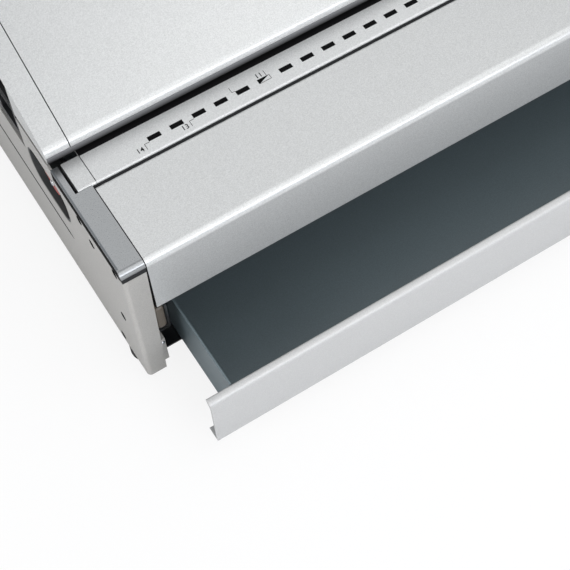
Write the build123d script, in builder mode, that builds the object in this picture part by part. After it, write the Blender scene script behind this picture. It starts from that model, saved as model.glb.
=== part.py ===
from build123d import *
from math import acos, atan2, cos, pi, radians, sin, sqrt, tan
import os

os.makedirs("parts", exist_ok=True)

# driving dimensions, millimetres
# Profiles are written as (y, z), with y counted back from the machine's front face.

width = 520.0  # over the side panels
depth = 420.0  # front face to the rear fittings
height = 250.0  # floor to the top of the upper cover
foot_height = 11.0
deck_z = 126.5  # top of the front deck
panel_sheet = 1.5
cover_sheet = 1.5
cap_wall = 2.0
rear_proud = 3.0  # how far the rear fittings stand out of the rear panel
rear_skin_top = 204.8
seam = 0.6  # gap between neighbouring covers

strip_width = 14.7  # deck strip beside the front cover
strip_depth = 4.5
seal_depth = 4.0
cover_back = 57.4  # depth of the front cover's deck
cover_drop = 48.5  # height of its front face
cover_bend = 5.0
table_front = 59.6  # the paper table starts behind a small groove
block_width = 11.0
block_slot = 2.0
nose_y = 81.7  # front of the upper cover, over the paper throat
nose_z = 139.6  # where the nose and the slope would meet if sharp
nose_radius = 6.3
ridge_y = 329.7  # where the slope would meet the flat top
ridge_radius = 30.0
rear_bend = 12.0  # bend at the rear top edge
throat = 4.3
lip_sheet = 2.6  # plate over the throat
table_sheet = 2.2

drawer_out = 59.0  # how far the drawer stands open at rest
drawer_lift = 1.4  # tray above the base plate
tray_inset = 28.2  # tray's side from the outside of the side panel
tray_depth = 190.0
tray_height = 44.5
tray_sheet = 1.2
front_inset = 12.8  # end of the drawer's front from the same face
front_height = 45.9
front_wall = 1.6

punch_y = 140.0  # line of the punch pins
pin_pitch = 14.2875  # nine sixteenths of an inch
left_margin = 58.9  # outer face to the middle of the first pin
right_margin = 118.2  # middle of the last pin to the outer face, with the gears
pin_size = (8.0, 3.0)
pin_fit = 0.1
stroke = 8.0
die_depth = 29.6
die_height = 22.5
stripper_height = 5.0
deck_level = 63.5  # underside of the plate that carries the mechanism
deck_plate = 3.0

cam_back = 42.0  # camshaft behind the line of the pins
cam_rise = 5.9  # and above the underside of the die block
shaft_radius = 7.0
eccentric_radius = 13.0
yoke_play = 1.2
gear_module = 2.0
gear_teeth = 40
pinion_teeth = 20
gear_width = 12.0

# worked out from them

half = width / 2
pin_count = 1 + int((width - left_margin - right_margin) / pin_pitch + 0.01)  # as many as fit
first_pin_x = -half + left_margin
front = -(depth - drawer_out) / 2  # Y of the front face
rear = depth - rear_proud  # outside of the rear panel
tilt = atan2(height - nose_z, ridge_y - nose_y)
slope = tan(tilt)
table_z = deck_z + 0.2
gap_z = table_z + throat
strip_low = deck_z - strip_depth
seal_low = strip_low - seal_depth
inner = half - strip_width - seam  # half width of the covers between the strips
deck_top = deck_level + deck_plate
die_y = (punch_y - die_depth / 2, punch_y + die_depth / 2)
die_top = table_z - 0.1
die_low = die_top - die_height
stripper_z = (gap_z + 0.2, gap_z + 0.2 + stripper_height)
holder_low = stripper_z[1] + stroke + 0.5
holder_high = holder_low + 5.0
bar_low = holder_high + 0.3
pins_end_x = first_pin_x + (pin_count - 1) * pin_pitch
guide_x = pins_end_x + 6.35  # the paper's right edge
die_x = (-half + strip_width + 2.3, guide_x + 10)
tray_half = half - tray_inset
front_half = half - front_inset
tray_floor_z = foot_height + panel_sheet + drawer_lift
cam_y, cam_z = punch_y + cam_back, die_low + cam_rise
eccentric_offset = stroke / 2


def cover_z(y):
    """Height of the upper cover's slope above a point y."""
    return nose_z + slope * (y - nose_y)


def block(x, y, z, mode=Mode.ADD):
    """A box from low to high along each axis."""
    with BuildSketch(Plane.XY.offset(z[0])) as base:
        with Locations(((x[0] + x[1]) / 2, front + (y[0] + y[1]) / 2)):
            Rectangle(x[1] - x[0], y[1] - y[0])
    extrude(base.sketch, amount=z[1] - z[0], mode=mode)


def across(points, x, mode=Mode.ADD):
    """A closed profile run across the machine."""
    with BuildSketch(Plane.YZ.offset(x[0])) as base:
        with BuildLine():
            Polyline(*[(front + y, z) for y, z in points], close=True)
        make_face()
    extrude(base.sketch, amount=x[1] - x[0], mode=mode)


def bent_sheet(points, radii, sheet, x, side=Side.RIGHT):
    """A folded sheet: its outer line, bend radii, thickness and span."""
    with BuildSketch(Plane.YZ.offset(x[0])) as base:
        with BuildLine():
            FilletPolyline(*[(front + y, z) for y, z in points], radius=radii)
            offset(amount=sheet, side=side)
        make_face()
    extrude(base.sketch, amount=x[1] - x[0])


def rod_x(y, z, radius, x, mode=Mode.ADD):
    """A round bar across the machine."""
    with BuildSketch(Plane.YZ.offset(x[0])) as base:
        with Locations((front + y, z)):
            Circle(radius)
    extrude(base.sketch, amount=x[1] - x[0], mode=mode)


def rod_z(x, y, radius, z, mode=Mode.ADD):
    """An upright round bar."""
    with BuildSketch(Plane.XY.offset(z[0])) as base:
        with Locations((x, front + y)):
            Circle(radius)
    extrude(base.sketch, amount=z[1] - z[0], mode=mode)


def rod_y(x, z, radius, y, mode=Mode.ADD):
    """A round bar from front to back."""
    with BuildSketch(Plane.XZ.offset(-front - y[1])) as base:
        with Locations((x, z)):
            Circle(radius)
    extrude(base.sketch, amount=y[1] - y[0], mode=mode)


def rounded(y, z, corner, x, mode=Mode.ADD):
    """A box with round corners as seen from the side."""
    with BuildSketch(Plane.YZ.offset(x[0])) as base:
        with Locations((front + (y[0] + y[1]) / 2, (z[0] + z[1]) / 2)):
            RectangleRounded(y[1] - y[0], z[1] - z[0], corner)
    extrude(base.sketch, amount=x[1] - x[0], mode=mode)


def inset(low_high, by):
    """A span drawn in at both ends."""
    return (low_high[0] + by, low_high[1] - by)


def edge_near(part, axis, x, y, z):
    """The part's edge along an axis that lies nearest a point."""
    spot = Vector(x, front + y, z)
    return part.edges().filter_by(axis).sort_by(lambda edge: (edge.center() - spot).length)[0]


def span(side, low, high):
    """A span of X on one side, from the middle outwards."""
    return (low, high) if side > 0 else (-high, -low)


def save(piece, name):
    piece.part.label = name
    export_step(piece.part, f"parts/{name}.step")


# side panels: folded steel, with a column return at the front

column_foot = 12.0  # width of the column's face at its foot
column_head = 14.4
column_bend = 2.8
column_lip = 10.4
tab_width = 3.6  # tab on the lip that holds the base plate
tab_y = (2.0, column_lip)
tab_z = (16.0, 40.0)
die_door = (die_y[0] - 1.2, die_y[1] + 2.2)
door_z = (die_low - 6.0, holder_high + 6.0)
recess_y = (70.0, 120.0)  # hand recess that holds the die release
recess_z = (80.0, 112.0)
recess_corner = 13.0
slit_y = (76.5, 230.0)  # long slit just below the mechanism deck
slit_z = (deck_level - 1.3, deck_level - 0.4)
panel_low = foot_height
cap_gap = cap_wall + 0.2
screw_radius = 3.0
screw_sink = 1.0  # screw heads lie this deep in their holes
screw_spots = [
    (51.0, seal_low - 3.3),
    (39.1, seal_low - 11.7),
    (10.2, seal_low - 3.3),
    (17.8, 57.5),
    (30.3, panel_low + 4.9),
    (rear - 22, 40),
    (rear - 22, rear_skin_top - 14.8),
    (300, 40),
]


def side_panel(side):
    upper = die_door[1]
    rear_edge = rear - cap_wall - 0.2
    top_line = [
        (rear_edge, panel_low),
        (rear_edge, height - cap_gap - rear_bend),
        (rear_edge - rear_bend, height - cap_gap),
        (ridge_y + 3, height - cap_gap),
        (upper, cover_z(upper) - cap_gap / cos(tilt) - 0.1),
    ]
    if side < 0:
        step = [(upper, door_z[0]), (die_door[0], door_z[0]), (die_door[0], table_z - 0.5)]
    else:
        step = [(upper, table_z - 0.5)]
    outline = [(0, panel_low)] + top_line + step + [
        (nose_y - 0.7, table_z - 0.5),
        (nose_y - 0.7, seal_low),
        (0, seal_low),
    ]
    with BuildPart() as panel:
        across(outline, span(side, half - panel_sheet, half))
        # column face and its inner lip
        with BuildSketch(Plane.XZ.offset(-front - panel_sheet)) as face:
            with BuildLine():
                Polyline(
                    (side * half, panel_low),
                    (side * (half - column_foot), panel_low),
                    (side * (half - column_head), seal_low),
                    (side * half, seal_low),
                    close=True,
                )
            make_face()
        extrude(face.sketch, amount=panel_sheet)
        with BuildSketch(Plane.XZ.offset(-front - column_lip)) as lip:
            with BuildLine():
                Polyline(
                    (side * (half - column_foot), panel_low),
                    (side * (half - column_foot + panel_sheet), panel_low),
                    (side * (half - column_head + panel_sheet), seal_low),
                    (side * (half - column_head), seal_low),
                    close=True,
                )
            make_face()
        extrude(lip.sketch, amount=column_lip)
        middle = (panel_low + seal_low) / 2
        fillet(
            edge_near(panel, Axis.Z, side * (half - panel_sheet), panel_sheet, middle),
            column_bend - panel_sheet,
        )
        fillet(edge_near(panel, Axis.Z, side * half, 0, middle), column_bend)
        block(
            span(side, half - column_foot - tab_width, half - column_foot + 0.5), tab_y, tab_z
        )
        # hand recess, long slit below it, and screw holes
        through = span(side, half - 2 * panel_sheet, half + 1)
        rounded(recess_y, recess_z, recess_corner, through, Mode.SUBTRACT)
        block(through, slit_y, slit_z, Mode.SUBTRACT)
        for y, z in screw_spots:
            rod_x(y, z, screw_radius + 0.05, through, Mode.SUBTRACT)
    return panel


left_side_panel = side_panel(-1)
save(left_side_panel, "left_side_panel")
right_side_panel = side_panel(1)
save(right_side_panel, "right_side_panel")

# base, rear panel, mechanism deck

inside = half - panel_sheet - 0.2  # half width between the side panels
rear_inside = rear - panel_sheet - 0.2

with BuildPart() as base_plate:
    block((-inside, inside), (11, rear_inside), (panel_low, panel_low + panel_sheet))
save(base_plate, "base_plate")

deck_y = (die_y[0] - 25.2, rear - 32)
deck_flange = 8.0
with BuildPart() as mechanism_deck:
    block((-inside, inside), deck_y, (deck_level, deck_top))
    for side in (-1, 1):
        block(span(side, inside - 2, inside), deck_y, (deck_top, deck_top + deck_flange))
    # the chips fall through here
    block(
        (first_pin_x - 10, pins_end_x + 10),
        (die_y[0] + 3, die_y[1] - 3),
        (deck_level - 1, deck_top + 1),
        Mode.SUBTRACT,
    )
save(mechanism_deck, "mechanism_deck")

inlet_x, switch_x, fuse_x, pedal_x = half - 70, half - 120, half - 32, half - 165
fitting_z = 100.0
inlet_size = (27.0, 20.0)
switch_size = (21.0, 27.0)

with BuildPart() as rear_panel:
    block((-half, half), (rear - panel_sheet, rear), (panel_low, rear_skin_top))
    block(
        (inlet_x - inlet_size[0] / 2, inlet_x + inlet_size[0] / 2),
        (rear - 5, rear + 1),
        (fitting_z - inlet_size[1] / 2, fitting_z + inlet_size[1] / 2),
        Mode.SUBTRACT,
    )
    block(
        (switch_x - switch_size[0] / 2, switch_x + switch_size[0] / 2),
        (rear - 5, rear + 1),
        (fitting_z - switch_size[1] / 2, fitting_z + switch_size[1] / 2),
        Mode.SUBTRACT,
    )
    rod_y(fuse_x, fitting_z, 6.5, (rear - 5, rear + 1), Mode.SUBTRACT)
    rod_y(pedal_x, fitting_z, 6.5, (rear - 5, rear + 1), Mode.SUBTRACT)
    # cooling slots
    with BuildSketch(Plane.XZ.offset(-front - rear - 1)) as slots:
        with Locations((-60, 140)):
            with GridLocations(14, 0, 11, 1):
                Rectangle(4, 50)
    extrude(slots.sketch, amount=5, mode=Mode.SUBTRACT)
save(rear_panel, "rear_panel")

foot_radius = 10.5
foot_spots = [(x, y) for x in (-half + foot_radius, half - foot_radius) for y in (24, rear - 26)]
with BuildPart() as rubber_feet:
    for foot_x, foot_y in foot_spots:
        rod_z(foot_x, foot_y, foot_radius, (0, foot_height))
    chamfer(rubber_feet.faces().sort_by(Axis.Z)[:4].edges(), 0.8)
save(rubber_feet, "rubber_feet")

# deck: strips, seals, front cover, paper table, end blocks

slot_edge = half - block_width - 6.5  # inner end of the end block
narrow = half - slot_edge - block_width - block_slot  # strip left beside the block

for side, name in ((-1, "left_deck_strip"), (1, "right_deck_strip")):
    with BuildPart() as strip:
        block(span(side, half - strip_width, half), (0, table_front - 0.4), (strip_low, deck_z))
        block(span(side, half - narrow, half), (table_front - 1, nose_y - 0.7), (strip_low, deck_z))
        fillet(edge_near(strip, Axis.X, side * (half - strip_width / 2), 0, deck_z), 4.0)
    save(strip, name)

seal_inset = 0.15
with BuildPart() as strip_seals:
    for side in (-1, 1):
        block(
            span(side, half - strip_width + seal_inset, half - seal_inset),
            (seal_inset, table_front - 2),
            (seal_low, strip_low),
        )
        block(
            span(side, half - narrow, half - seal_inset),
            (table_front - 2, nose_y - 0.7 - seal_inset),
            (seal_low, strip_low),
        )
save(strip_seals, "strip_seals")

with BuildPart() as front_cover:
    bent_sheet(
        [
            (9, deck_z - cover_drop),
            (0, deck_z - cover_drop),
            (0, deck_z),
            (cover_back, deck_z),
            (cover_back, deck_z - 10),
        ],
        [1.6, cover_bend, 1.6],
        cover_sheet,
        (-inner, inner),
        Side.RIGHT,
    )
save(front_cover, "front_cover")

with BuildPart() as paper_table:
    across(
        [
            (table_front, table_z - 15),
            (table_front, table_z),
            (die_y[0] - 0.4, table_z),
            (die_y[0] - 0.4, table_z - table_sheet),
            (table_front + table_sheet, table_z - table_sheet),
            (table_front + table_sheet, table_z - 15),
        ],
        (-slot_edge + 0.2, slot_edge - 0.2),
    )
    fillet(edge_near(paper_table, Axis.X, 0, table_front, table_z), 1.4)
save(paper_table, "paper_table")

for side, name in ((-1, "left_end_block"), (1, "right_end_block")):
    with BuildPart() as end_block:
        block(
            span(side, slot_edge, slot_edge + block_width),
            (table_front - 0.2, nose_y - 0.9),
            (seal_low, table_z + 0.3),
        )
        fillet(
            edge_near(end_block, Axis.X, side * (slot_edge + 5), table_front - 0.2, table_z + 0.3), 2.0
        )
    save(end_block, name)

# upper housing: throat plate, cover, end caps, control panel

lip_top = gap_z + lip_sheet

with BuildPart() as upper_throat_plate:
    block(
        (-half + cap_wall + 0.2, half - cap_wall - 0.2),
        (nose_y + 0.05, die_y[0] - 0.4),
        (gap_z, lip_top),
    )
    fillet(edge_near(upper_throat_plate, Axis.X, 0, nose_y + 0.05, gap_z), 1.0)
save(upper_throat_plate, "upper_throat_plate")

housing_line = [
    (nose_y, lip_top + 0.1),
    (nose_y, nose_z),
    (ridge_y, height),
    (rear, height),
    (rear, rear_skin_top + 0.2),
]
housing_bends = [nose_radius, ridge_radius, rear_bend]

slope_plane = Plane(
    origin=(0, front + nose_y, nose_z),
    x_dir=(1, 0, 0),
    z_dir=(0, -sin(tilt), cos(tilt)),
)
panel_at = (inner - 46, 152.0)  # centre of the control panel, along X and up the slope
panel_size = (72.0, 86.0)
panel_flange = 3.0

with BuildPart() as upper_cover:
    bent_sheet(housing_line, housing_bends, cover_sheet, (-inner, inner))
    with BuildSketch(slope_plane.offset(2)) as window:
        with Locations(panel_at):
            Rectangle(*panel_size)
    extrude(window.sketch, amount=-8, mode=Mode.SUBTRACT)
save(upper_cover, "upper_cover")

for side, name in ((-1, "left_end_cap"), (1, "right_end_cap")):
    cheek = die_door[0] - 1.0 if side < 0 else die_door[1] - 0.3
    cheek_nose = nose_y + 0.6
    with BuildPart() as end_cap:
        across(
            [
                (cheek_nose, gap_z),
                (cheek_nose, cover_z(nose_y) - 0.6),
                (cheek, cover_z(cheek) - 1.2),
                (cheek, gap_z),
            ],
            span(side, half - cap_wall, half),
        )
        fillet(
            edge_near(end_cap, Axis.X, side * (half - cap_wall / 2), cheek_nose, cover_z(nose_y)),
            nose_radius - 0.6,
        )
        bent_sheet(housing_line, housing_bends, cap_wall, span(side, inner + seam, half))
    save(end_cap, name)

# control panel on the slope

left_column = panel_at[0] - panel_size[0] / 2 + 20
right_column = panel_at[0] + panel_size[0] / 2 - 18
lower_row = panel_at[1] - panel_size[1] / 2 + 21
upper_row = panel_at[1] + panel_size[1] / 2 - 23
button_at = (left_column, lower_row)
reverse_at = (right_column, lower_row)
mode_at = (left_column, upper_row)
margin_at = (right_column, upper_row)
lens_at = ((left_column + right_column) / 2, (lower_row + upper_row) / 2)
button_radius, reverse_radius, knob_radius, lens_radius = 12.0, 8.0, 11.0, 2.5
button_play = 0.4
panel_body = 9.0
button_travel = 2.5

with BuildPart() as control_panel:
    with BuildSketch(slope_plane.offset(-panel_body)) as tub:
        with Locations(panel_at):
            Rectangle(panel_size[0] - 0.8, panel_size[1] - 0.8)
    extrude(tub.sketch, amount=panel_body)
    with BuildSketch(slope_plane) as rim:
        with Locations(panel_at):
            RectangleRounded(panel_size[0] + 2 * panel_flange, panel_size[1] + 2 * panel_flange, 6)
    extrude(rim.sketch, amount=1.6)
    with BuildSketch(slope_plane.offset(-panel_body)) as ribs:
        with Locations(panel_at):
            Rectangle(panel_size[0] - 6, panel_size[1] - 6)
    extrude(ribs.sketch, amount=panel_body - 2.2, mode=Mode.SUBTRACT)
    with BuildSketch(slope_plane.offset(3)) as holes:
        with Locations(button_at):
            Circle(button_radius + button_play)
        with Locations(reverse_at):
            Circle(reverse_radius + button_play)
        with Locations(mode_at, margin_at):
            Circle(3.4)
        with Locations(lens_at):
            Circle(lens_radius + 0.05)
    extrude(holes.sketch, amount=-6, mode=Mode.SUBTRACT)
save(control_panel, "control_panel")


def top_edges(piece, plane):
    """Edges of a piece's highest face, seen along a plane's normal."""
    return piece.faces().sort_by(Axis(plane.origin, plane.z_dir))[-1].edges()


for name, spot, radius in (
    ("punch_button", button_at, button_radius),
    ("reverse_button", reverse_at, reverse_radius),
):
    with BuildPart() as button:
        with BuildSketch(slope_plane.offset(-2.0)) as cap:
            with Locations(spot):
                Circle(radius)
        extrude(cap.sketch, amount=2.0 + 1.6 + button_travel + 1.5)
        chamfer(top_edges(button, slope_plane), 1.2)
    save(button, name)

for name, spot in (("mode_knob", mode_at), ("margin_knob", margin_at)):
    with BuildPart() as knob:
        with BuildSketch(slope_plane.offset(2.2)) as skirt:
            with Locations(spot):
                Circle(knob_radius)
        extrude(skirt.sketch, amount=3)
        with BuildSketch(slope_plane.offset(5.2)) as grip:
            with Locations(spot):
                Circle(knob_radius - 2)
        extrude(grip.sketch, amount=9)
        chamfer(top_edges(knob, slope_plane), 1.0)
        with BuildSketch(slope_plane.offset(-8)) as stem:
            with Locations(spot):
                Circle(3.3)
        extrude(stem.sketch, amount=12)
        with BuildSketch(slope_plane.offset(13.4)) as mark:
            with Locations((spot[0], spot[1] + knob_radius / 2 - 1)):
                Rectangle(1.4, knob_radius)
        extrude(mark.sketch, amount=2, mode=Mode.SUBTRACT)
    save(knob, name)

with BuildPart() as indicator_lens:
    with BuildSketch(slope_plane.offset(-1.5)) as lens:
        with Locations(lens_at):
            Circle(lens_radius)
    extrude(lens.sketch, amount=4.4)
    chamfer(top_edges(indicator_lens, slope_plane), 1.2)
save(indicator_lens, "indicator_lens")

# chip drawer, drawn open

tray_back = -drawer_out + front_wall + tray_depth
tray_y = (-drawer_out + front_wall + 0.1, tray_back)
tray_z = (tray_floor_z, tray_floor_z + tray_height)
front_low = tray_floor_z - 0.9
front_top = front_low + front_height
bead_depth, bead_height = 5.6, 6.0  # bead along the top of the drawer's front
bead_radius = 3.8

with BuildPart() as drawer_tray:
    block((-tray_half, tray_half), tray_y, tray_z)
    block(
        (-tray_half + tray_sheet, tray_half - tray_sheet),
        (tray_y[0] + tray_sheet, tray_y[1] - tray_sheet),
        (tray_z[0] + tray_sheet, tray_z[1] + 1),
        Mode.SUBTRACT,
    )
    # room for the bead along the top of the drawer's front
    block(
        (-tray_half - 1, tray_half + 1),
        (tray_y[0] - 1, -drawer_out + bead_depth + 0.2),
        (front_top - bead_height - 0.3, tray_z[1] + 1),
        Mode.SUBTRACT,
    )
save(drawer_tray, "drawer_tray")

with BuildPart() as drawer_front:
    face_y = -drawer_out
    across(
        [
            (face_y, front_low),
            (face_y, front_top),
            (face_y + bead_depth, front_top),
            (face_y + bead_depth, front_top - 2.6),
            (face_y + front_wall, front_top - bead_height),
            (face_y + front_wall, front_low + 0.8),
            (face_y + 9.5, front_low + 0.8),
            (face_y + 9.5, front_low),
        ],
        (-front_half, front_half),
    )
    fillet(edge_near(drawer_front, Axis.X, 0, face_y, front_top), bead_radius)
    fillet(edge_near(drawer_front, Axis.X, 0, face_y + bead_depth, front_top), bead_depth - bead_radius - 0.4)
save(drawer_front, "drawer_front")

base_top = panel_low + panel_sheet
runner_y = (22, rear - 77)
runner_sheet = 1.5
runner_height = 26.0
runner_foot = 12.0
runner_x = tray_half + 0.6
with BuildPart() as drawer_runners:
    for side in (-1, 1):
        block(span(side, runner_x, runner_x + runner_sheet), runner_y, (base_top, base_top + runner_height))
        block(
            span(side, runner_x + runner_sheet, runner_x + runner_sheet + runner_foot),
            runner_y,
            (base_top, base_top + runner_sheet),
        )
save(drawer_runners, "drawer_runners")

# die set: slides out to the left

holes_x = [first_pin_x + pin_pitch * i for i in range(pin_count)]


def pin_holes(z):
    """Rectangular holes for every pin, cut from the piece in hand."""
    with BuildSketch(Plane.XY.offset(z[0])) as cut:
        with Locations(*[(x, front + punch_y) for x in holes_x]):
            Rectangle(pin_size[0] + 2 * pin_fit, pin_size[1] + 2 * pin_fit)
    extrude(cut.sketch, amount=z[1] - z[0], mode=Mode.SUBTRACT)


with BuildPart() as die_block:
    block(die_x, die_y, (die_low, die_top))
    # relief below the cutting edge, so that chips drop clear
    block(
        (holes_x[0] - 8, holes_x[-1] + 8),
        (punch_y - 6, punch_y + 6),
        (die_low - 1, die_top - 9),
        Mode.SUBTRACT,
    )
    pin_holes((die_low, die_top + 1))
save(die_block, "die_block")

with BuildPart() as die_stripper:
    block(die_x, die_y, stripper_z)
    pin_holes((stripper_z[0] - 1, stripper_z[1] + 1))
save(die_stripper, "die_stripper")

spacer_y = (die_y[0], punch_y - 4)
with BuildPart() as die_spacers:
    block((die_x[0], die_x[0] + 14), spacer_y, (die_top, stripper_z[0]))
    block((die_x[1] - 7.5, die_x[1]), spacer_y, (die_top, stripper_z[0]))
save(die_spacers, "die_spacers")

with BuildPart() as die_handle:
    handle_x = (-half + 0.6, die_x[0])
    block(handle_x, (die_y[0] + 0.6, die_y[1] - 0.6), (die_low + 0.2, stripper_z[1]))
    fillet(die_handle.edges().filter_by(Axis.X), 3.0)
    # finger pocket, open to the left
    block(
        (handle_x[0] - 1, handle_x[0] + 9),
        (die_y[0] + 4, die_y[1] - 4),
        (die_low + 4, stripper_z[1] - 9),
        Mode.SUBTRACT,
    )
save(die_handle, "die_handle")

with BuildPart() as punch_pins:
    with BuildSketch(Plane.XY.offset(stripper_z[0] + 1.0)) as tips:
        with Locations(*[(x, front + punch_y) for x in holes_x]):
            Rectangle(*pin_size)
    extrude(tips.sketch, amount=holder_high - stripper_z[0] - 1.0)
save(punch_pins, "punch_pins")

holder_x = (holes_x[0] - 12, holes_x[-1] + 12)
tee_neck, tee_head = 2.0, 4.0
with BuildPart() as pin_retainer:
    block(holder_x, (punch_y - 7, punch_y + 7), (holder_low, holder_high))
    pin_holes((holder_low - 1, holder_high))
    block(holder_x, (punch_y - tee_neck, punch_y + tee_neck), (holder_high, holder_high + 2.0))
    block(holder_x, (punch_y - tee_head, punch_y + tee_head), (holder_high + 2.0, holder_high + 4.0))
save(pin_retainer, "pin_retainer")

# ram: pressure bar, yokes, bushes

bar_x = (first_pin_x - 44.9, pins_end_x + 36.2)
bar_back = cam_y - 8
bar_clear = 2.2 + cover_sheet / cos(tilt)
post_y = punch_y + 25
post_x = (bar_x[0] + 10, bar_x[1] - 25)
post_radius = 6.0
bush_radius = 7.5
yoke_sheet = 6.0
yoke_x = (bar_x[0] + 31, bar_x[1] - 15)
slot_half_z = eccentric_radius + yoke_play
slot_half_y = eccentric_radius + eccentric_offset + yoke_play

with BuildPart() as pressure_bar:
    bar_front = punch_y - 5.8
    across(
        [
            (bar_front, bar_low),
            (bar_front, cover_z(bar_front) - bar_clear),
            (bar_back, cover_z(bar_back) - bar_clear),
            (bar_back, bar_low),
        ],
        bar_x,
    )
    block(
        (bar_x[0] - 1, bar_x[1] + 1),
        (punch_y - tee_neck - 0.4, punch_y + tee_neck + 0.4),
        (bar_low - 1, holder_high + 2.0),
        Mode.SUBTRACT,
    )
    block(
        (bar_x[0] - 1, bar_x[1] + 1),
        (punch_y - tee_head - 0.3, punch_y + tee_head + 0.3),
        (holder_high + 1.7, holder_high + 4.3),
        Mode.SUBTRACT,
    )
    for x in post_x:
        rod_z(x, post_y, bush_radius + 0.02, (bar_low - 1, height), Mode.SUBTRACT)
save(pressure_bar, "pressure_bar")

with BuildPart() as ram_bushes:
    for x in post_x:
        rod_z(x, post_y, bush_radius, (bar_low - 3, bar_low + 15))
        rod_z(x, post_y, bush_radius + 2, (bar_low - 3, bar_low))
        rod_z(x, post_y, post_radius + 0.08, (bar_low - 4, bar_low + 16), Mode.SUBTRACT)
save(ram_bushes, "ram_bushes")

with BuildPart() as guide_posts:
    for x in post_x:
        rod_z(x, post_y, post_radius, (deck_top, bar_low + 17))
        rod_z(x, post_y, post_radius + 1.5, (deck_top, deck_top + 8))
save(guide_posts, "guide_posts")

with BuildPart() as ram_yokes:
    low = cam_z - slot_half_z - 6
    arm = slot_half_y + 6
    for x in yoke_x:
        across(
            [
                (cam_y - arm, low + 8),
                (cam_y - arm + 8, low),
                (cam_y + arm - 8, low),
                (cam_y + arm, low + 8),
                (cam_y + arm, cam_z + 18),
                (bar_back + 16, cover_z(bar_back) - bar_clear - 6),
                (bar_back, cover_z(bar_back) - bar_clear - 4),
                (bar_back, bar_low),
                (cam_y - arm, bar_low),
            ],
            (x, x + yoke_sheet),
        )
        with BuildSketch(Plane.YZ.offset(x - 1)) as window:
            with Locations((front + cam_y, cam_z + eccentric_offset)):
                SlotOverall(2 * slot_half_y, 2 * slot_half_z)
        extrude(window.sketch, amount=yoke_sheet + 2, mode=Mode.SUBTRACT)
save(ram_yokes, "ram_yokes")

# camshaft, eccentrics, gears

frame_sheet = 5.0
left_frame_x = yoke_x[0] - 12
right_frame_x = yoke_x[1] + yoke_sheet + 7
gear_x = right_frame_x + frame_sheet + 9
shaft_x = (left_frame_x - 4, gear_x + gear_width + 6)
gear_radius = gear_module * gear_teeth / 2
pinion_radius = gear_module * pinion_teeth / 2
motor_y = cam_y + gear_radius + pinion_radius
motor_radius = 32.0
motor_length = 100.0
gearbox_radius = 30.0
gearbox_length = 26.0
motor_boss = (9.0, 5.0)  # radius and length of the boss at the motor's far end
pressure_angle = radians(20)

with BuildPart() as cam_shaft:
    rod_x(cam_y, cam_z, shaft_radius, shaft_x)
    # retaining collar beside the right bearing
    rod_x(cam_y, cam_z, shaft_radius + 3, (left_frame_x + 9, left_frame_x + 11))
save(cam_shaft, "cam_shaft")

with BuildPart() as eccentrics:
    for x in yoke_x:
        rod_x(cam_y, cam_z + eccentric_offset, eccentric_radius, (x - 0.5, x + yoke_sheet + 0.5))
        rod_x(cam_y, cam_z, shaft_radius, (x - 1, x + yoke_sheet + 1), Mode.SUBTRACT)
save(eccentrics, "eccentrics")


def tooth_outline(teeth, turn):
    """Points of an involute gear's outline, about its own centre."""
    pitch = gear_module * teeth / 2
    base = pitch * cos(pressure_angle)
    tip = pitch + 0.95 * gear_module
    root = pitch - 1.2 * gear_module
    inv = tan(pressure_angle) - pressure_angle
    half_tooth = pi / (2 * teeth) - 0.07 / pitch
    flank = []
    for radius in (max(base, root), pitch - 0.5 * gear_module, pitch, pitch + 0.5 * gear_module, tip):
        radius = max(radius, base)
        angle = acos(base / radius)
        flank.append((radius, half_tooth + inv - (tan(angle) - angle)))
    outline = []
    for tooth in range(teeth):
        middle = turn + 2 * pi * tooth / teeth
        side = [(root, half_tooth + inv)] + flank
        ring = [(r, middle - a) for r, a in side] + [(r, middle + a) for r, a in reversed(side)]
        outline += [(r * cos(a), r * sin(a)) for r, a in ring]
    cleaned = [outline[0]]
    for point in outline[1:]:
        if sqrt((point[0] - cleaned[-1][0]) ** 2 + (point[1] - cleaned[-1][1]) ** 2) > 0.02:
            cleaned.append(point)
    return cleaned


def gear_body(teeth, turn, y, z, x, bore):
    """A spur gear on an axis along X, cut into the piece in hand."""
    with BuildSketch(Plane.YZ.offset(x[0])) as disc:
        with BuildLine():
            Polyline(*[(front + y + a, z + b) for a, b in tooth_outline(teeth, turn)], close=True)
        make_face()
        if bore:
            with Locations((front + y, z)):
                Circle(bore, mode=Mode.SUBTRACT)
    extrude(disc.sketch, amount=x[1] - x[0])


with BuildPart() as drive_gear:
    gear_body(gear_teeth, 0, cam_y, cam_z, (gear_x, gear_x + gear_width), shaft_radius)
    # five lightening holes
    with BuildSketch(Plane.YZ.offset(gear_x - 1)) as windows:
        with Locations((front + cam_y, cam_z)):
            with PolarLocations(gear_radius * 0.56, 5):
                Circle(7)
    extrude(windows.sketch, amount=gear_width + 2, mode=Mode.SUBTRACT)
save(drive_gear, "drive_gear")

with BuildPart() as drive_pinion:
    gear_body(pinion_teeth, pi / pinion_teeth, motor_y, cam_z, (gear_x - 1, gear_x + gear_width + 1), 0)
    rod_x(motor_y, cam_z, 5.0, (right_frame_x - 8, gear_x))
save(drive_pinion, "drive_pinion")

frame_z = (deck_top, cam_z + 32)
bearing_radius = 13.0

with BuildPart() as left_drive_frame:
    across(
        [
            (post_y + 12, frame_z[0]),
            (post_y + 12, cam_z + 18),
            (cam_y - 8, frame_z[1]),
            (cam_y + 14, frame_z[1]),
            (cam_y + 34, cam_z),
            (cam_y + 40, frame_z[0]),
        ],
        (left_frame_x, left_frame_x + frame_sheet),
    )
    block((left_frame_x - 16, left_frame_x), (cam_y - 4, cam_y + 38), (frame_z[0], frame_z[0] + 4))
    rod_x(cam_y, cam_z, bearing_radius, (left_frame_x - 1, left_frame_x + 6), Mode.SUBTRACT)
save(left_drive_frame, "left_drive_frame")

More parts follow.
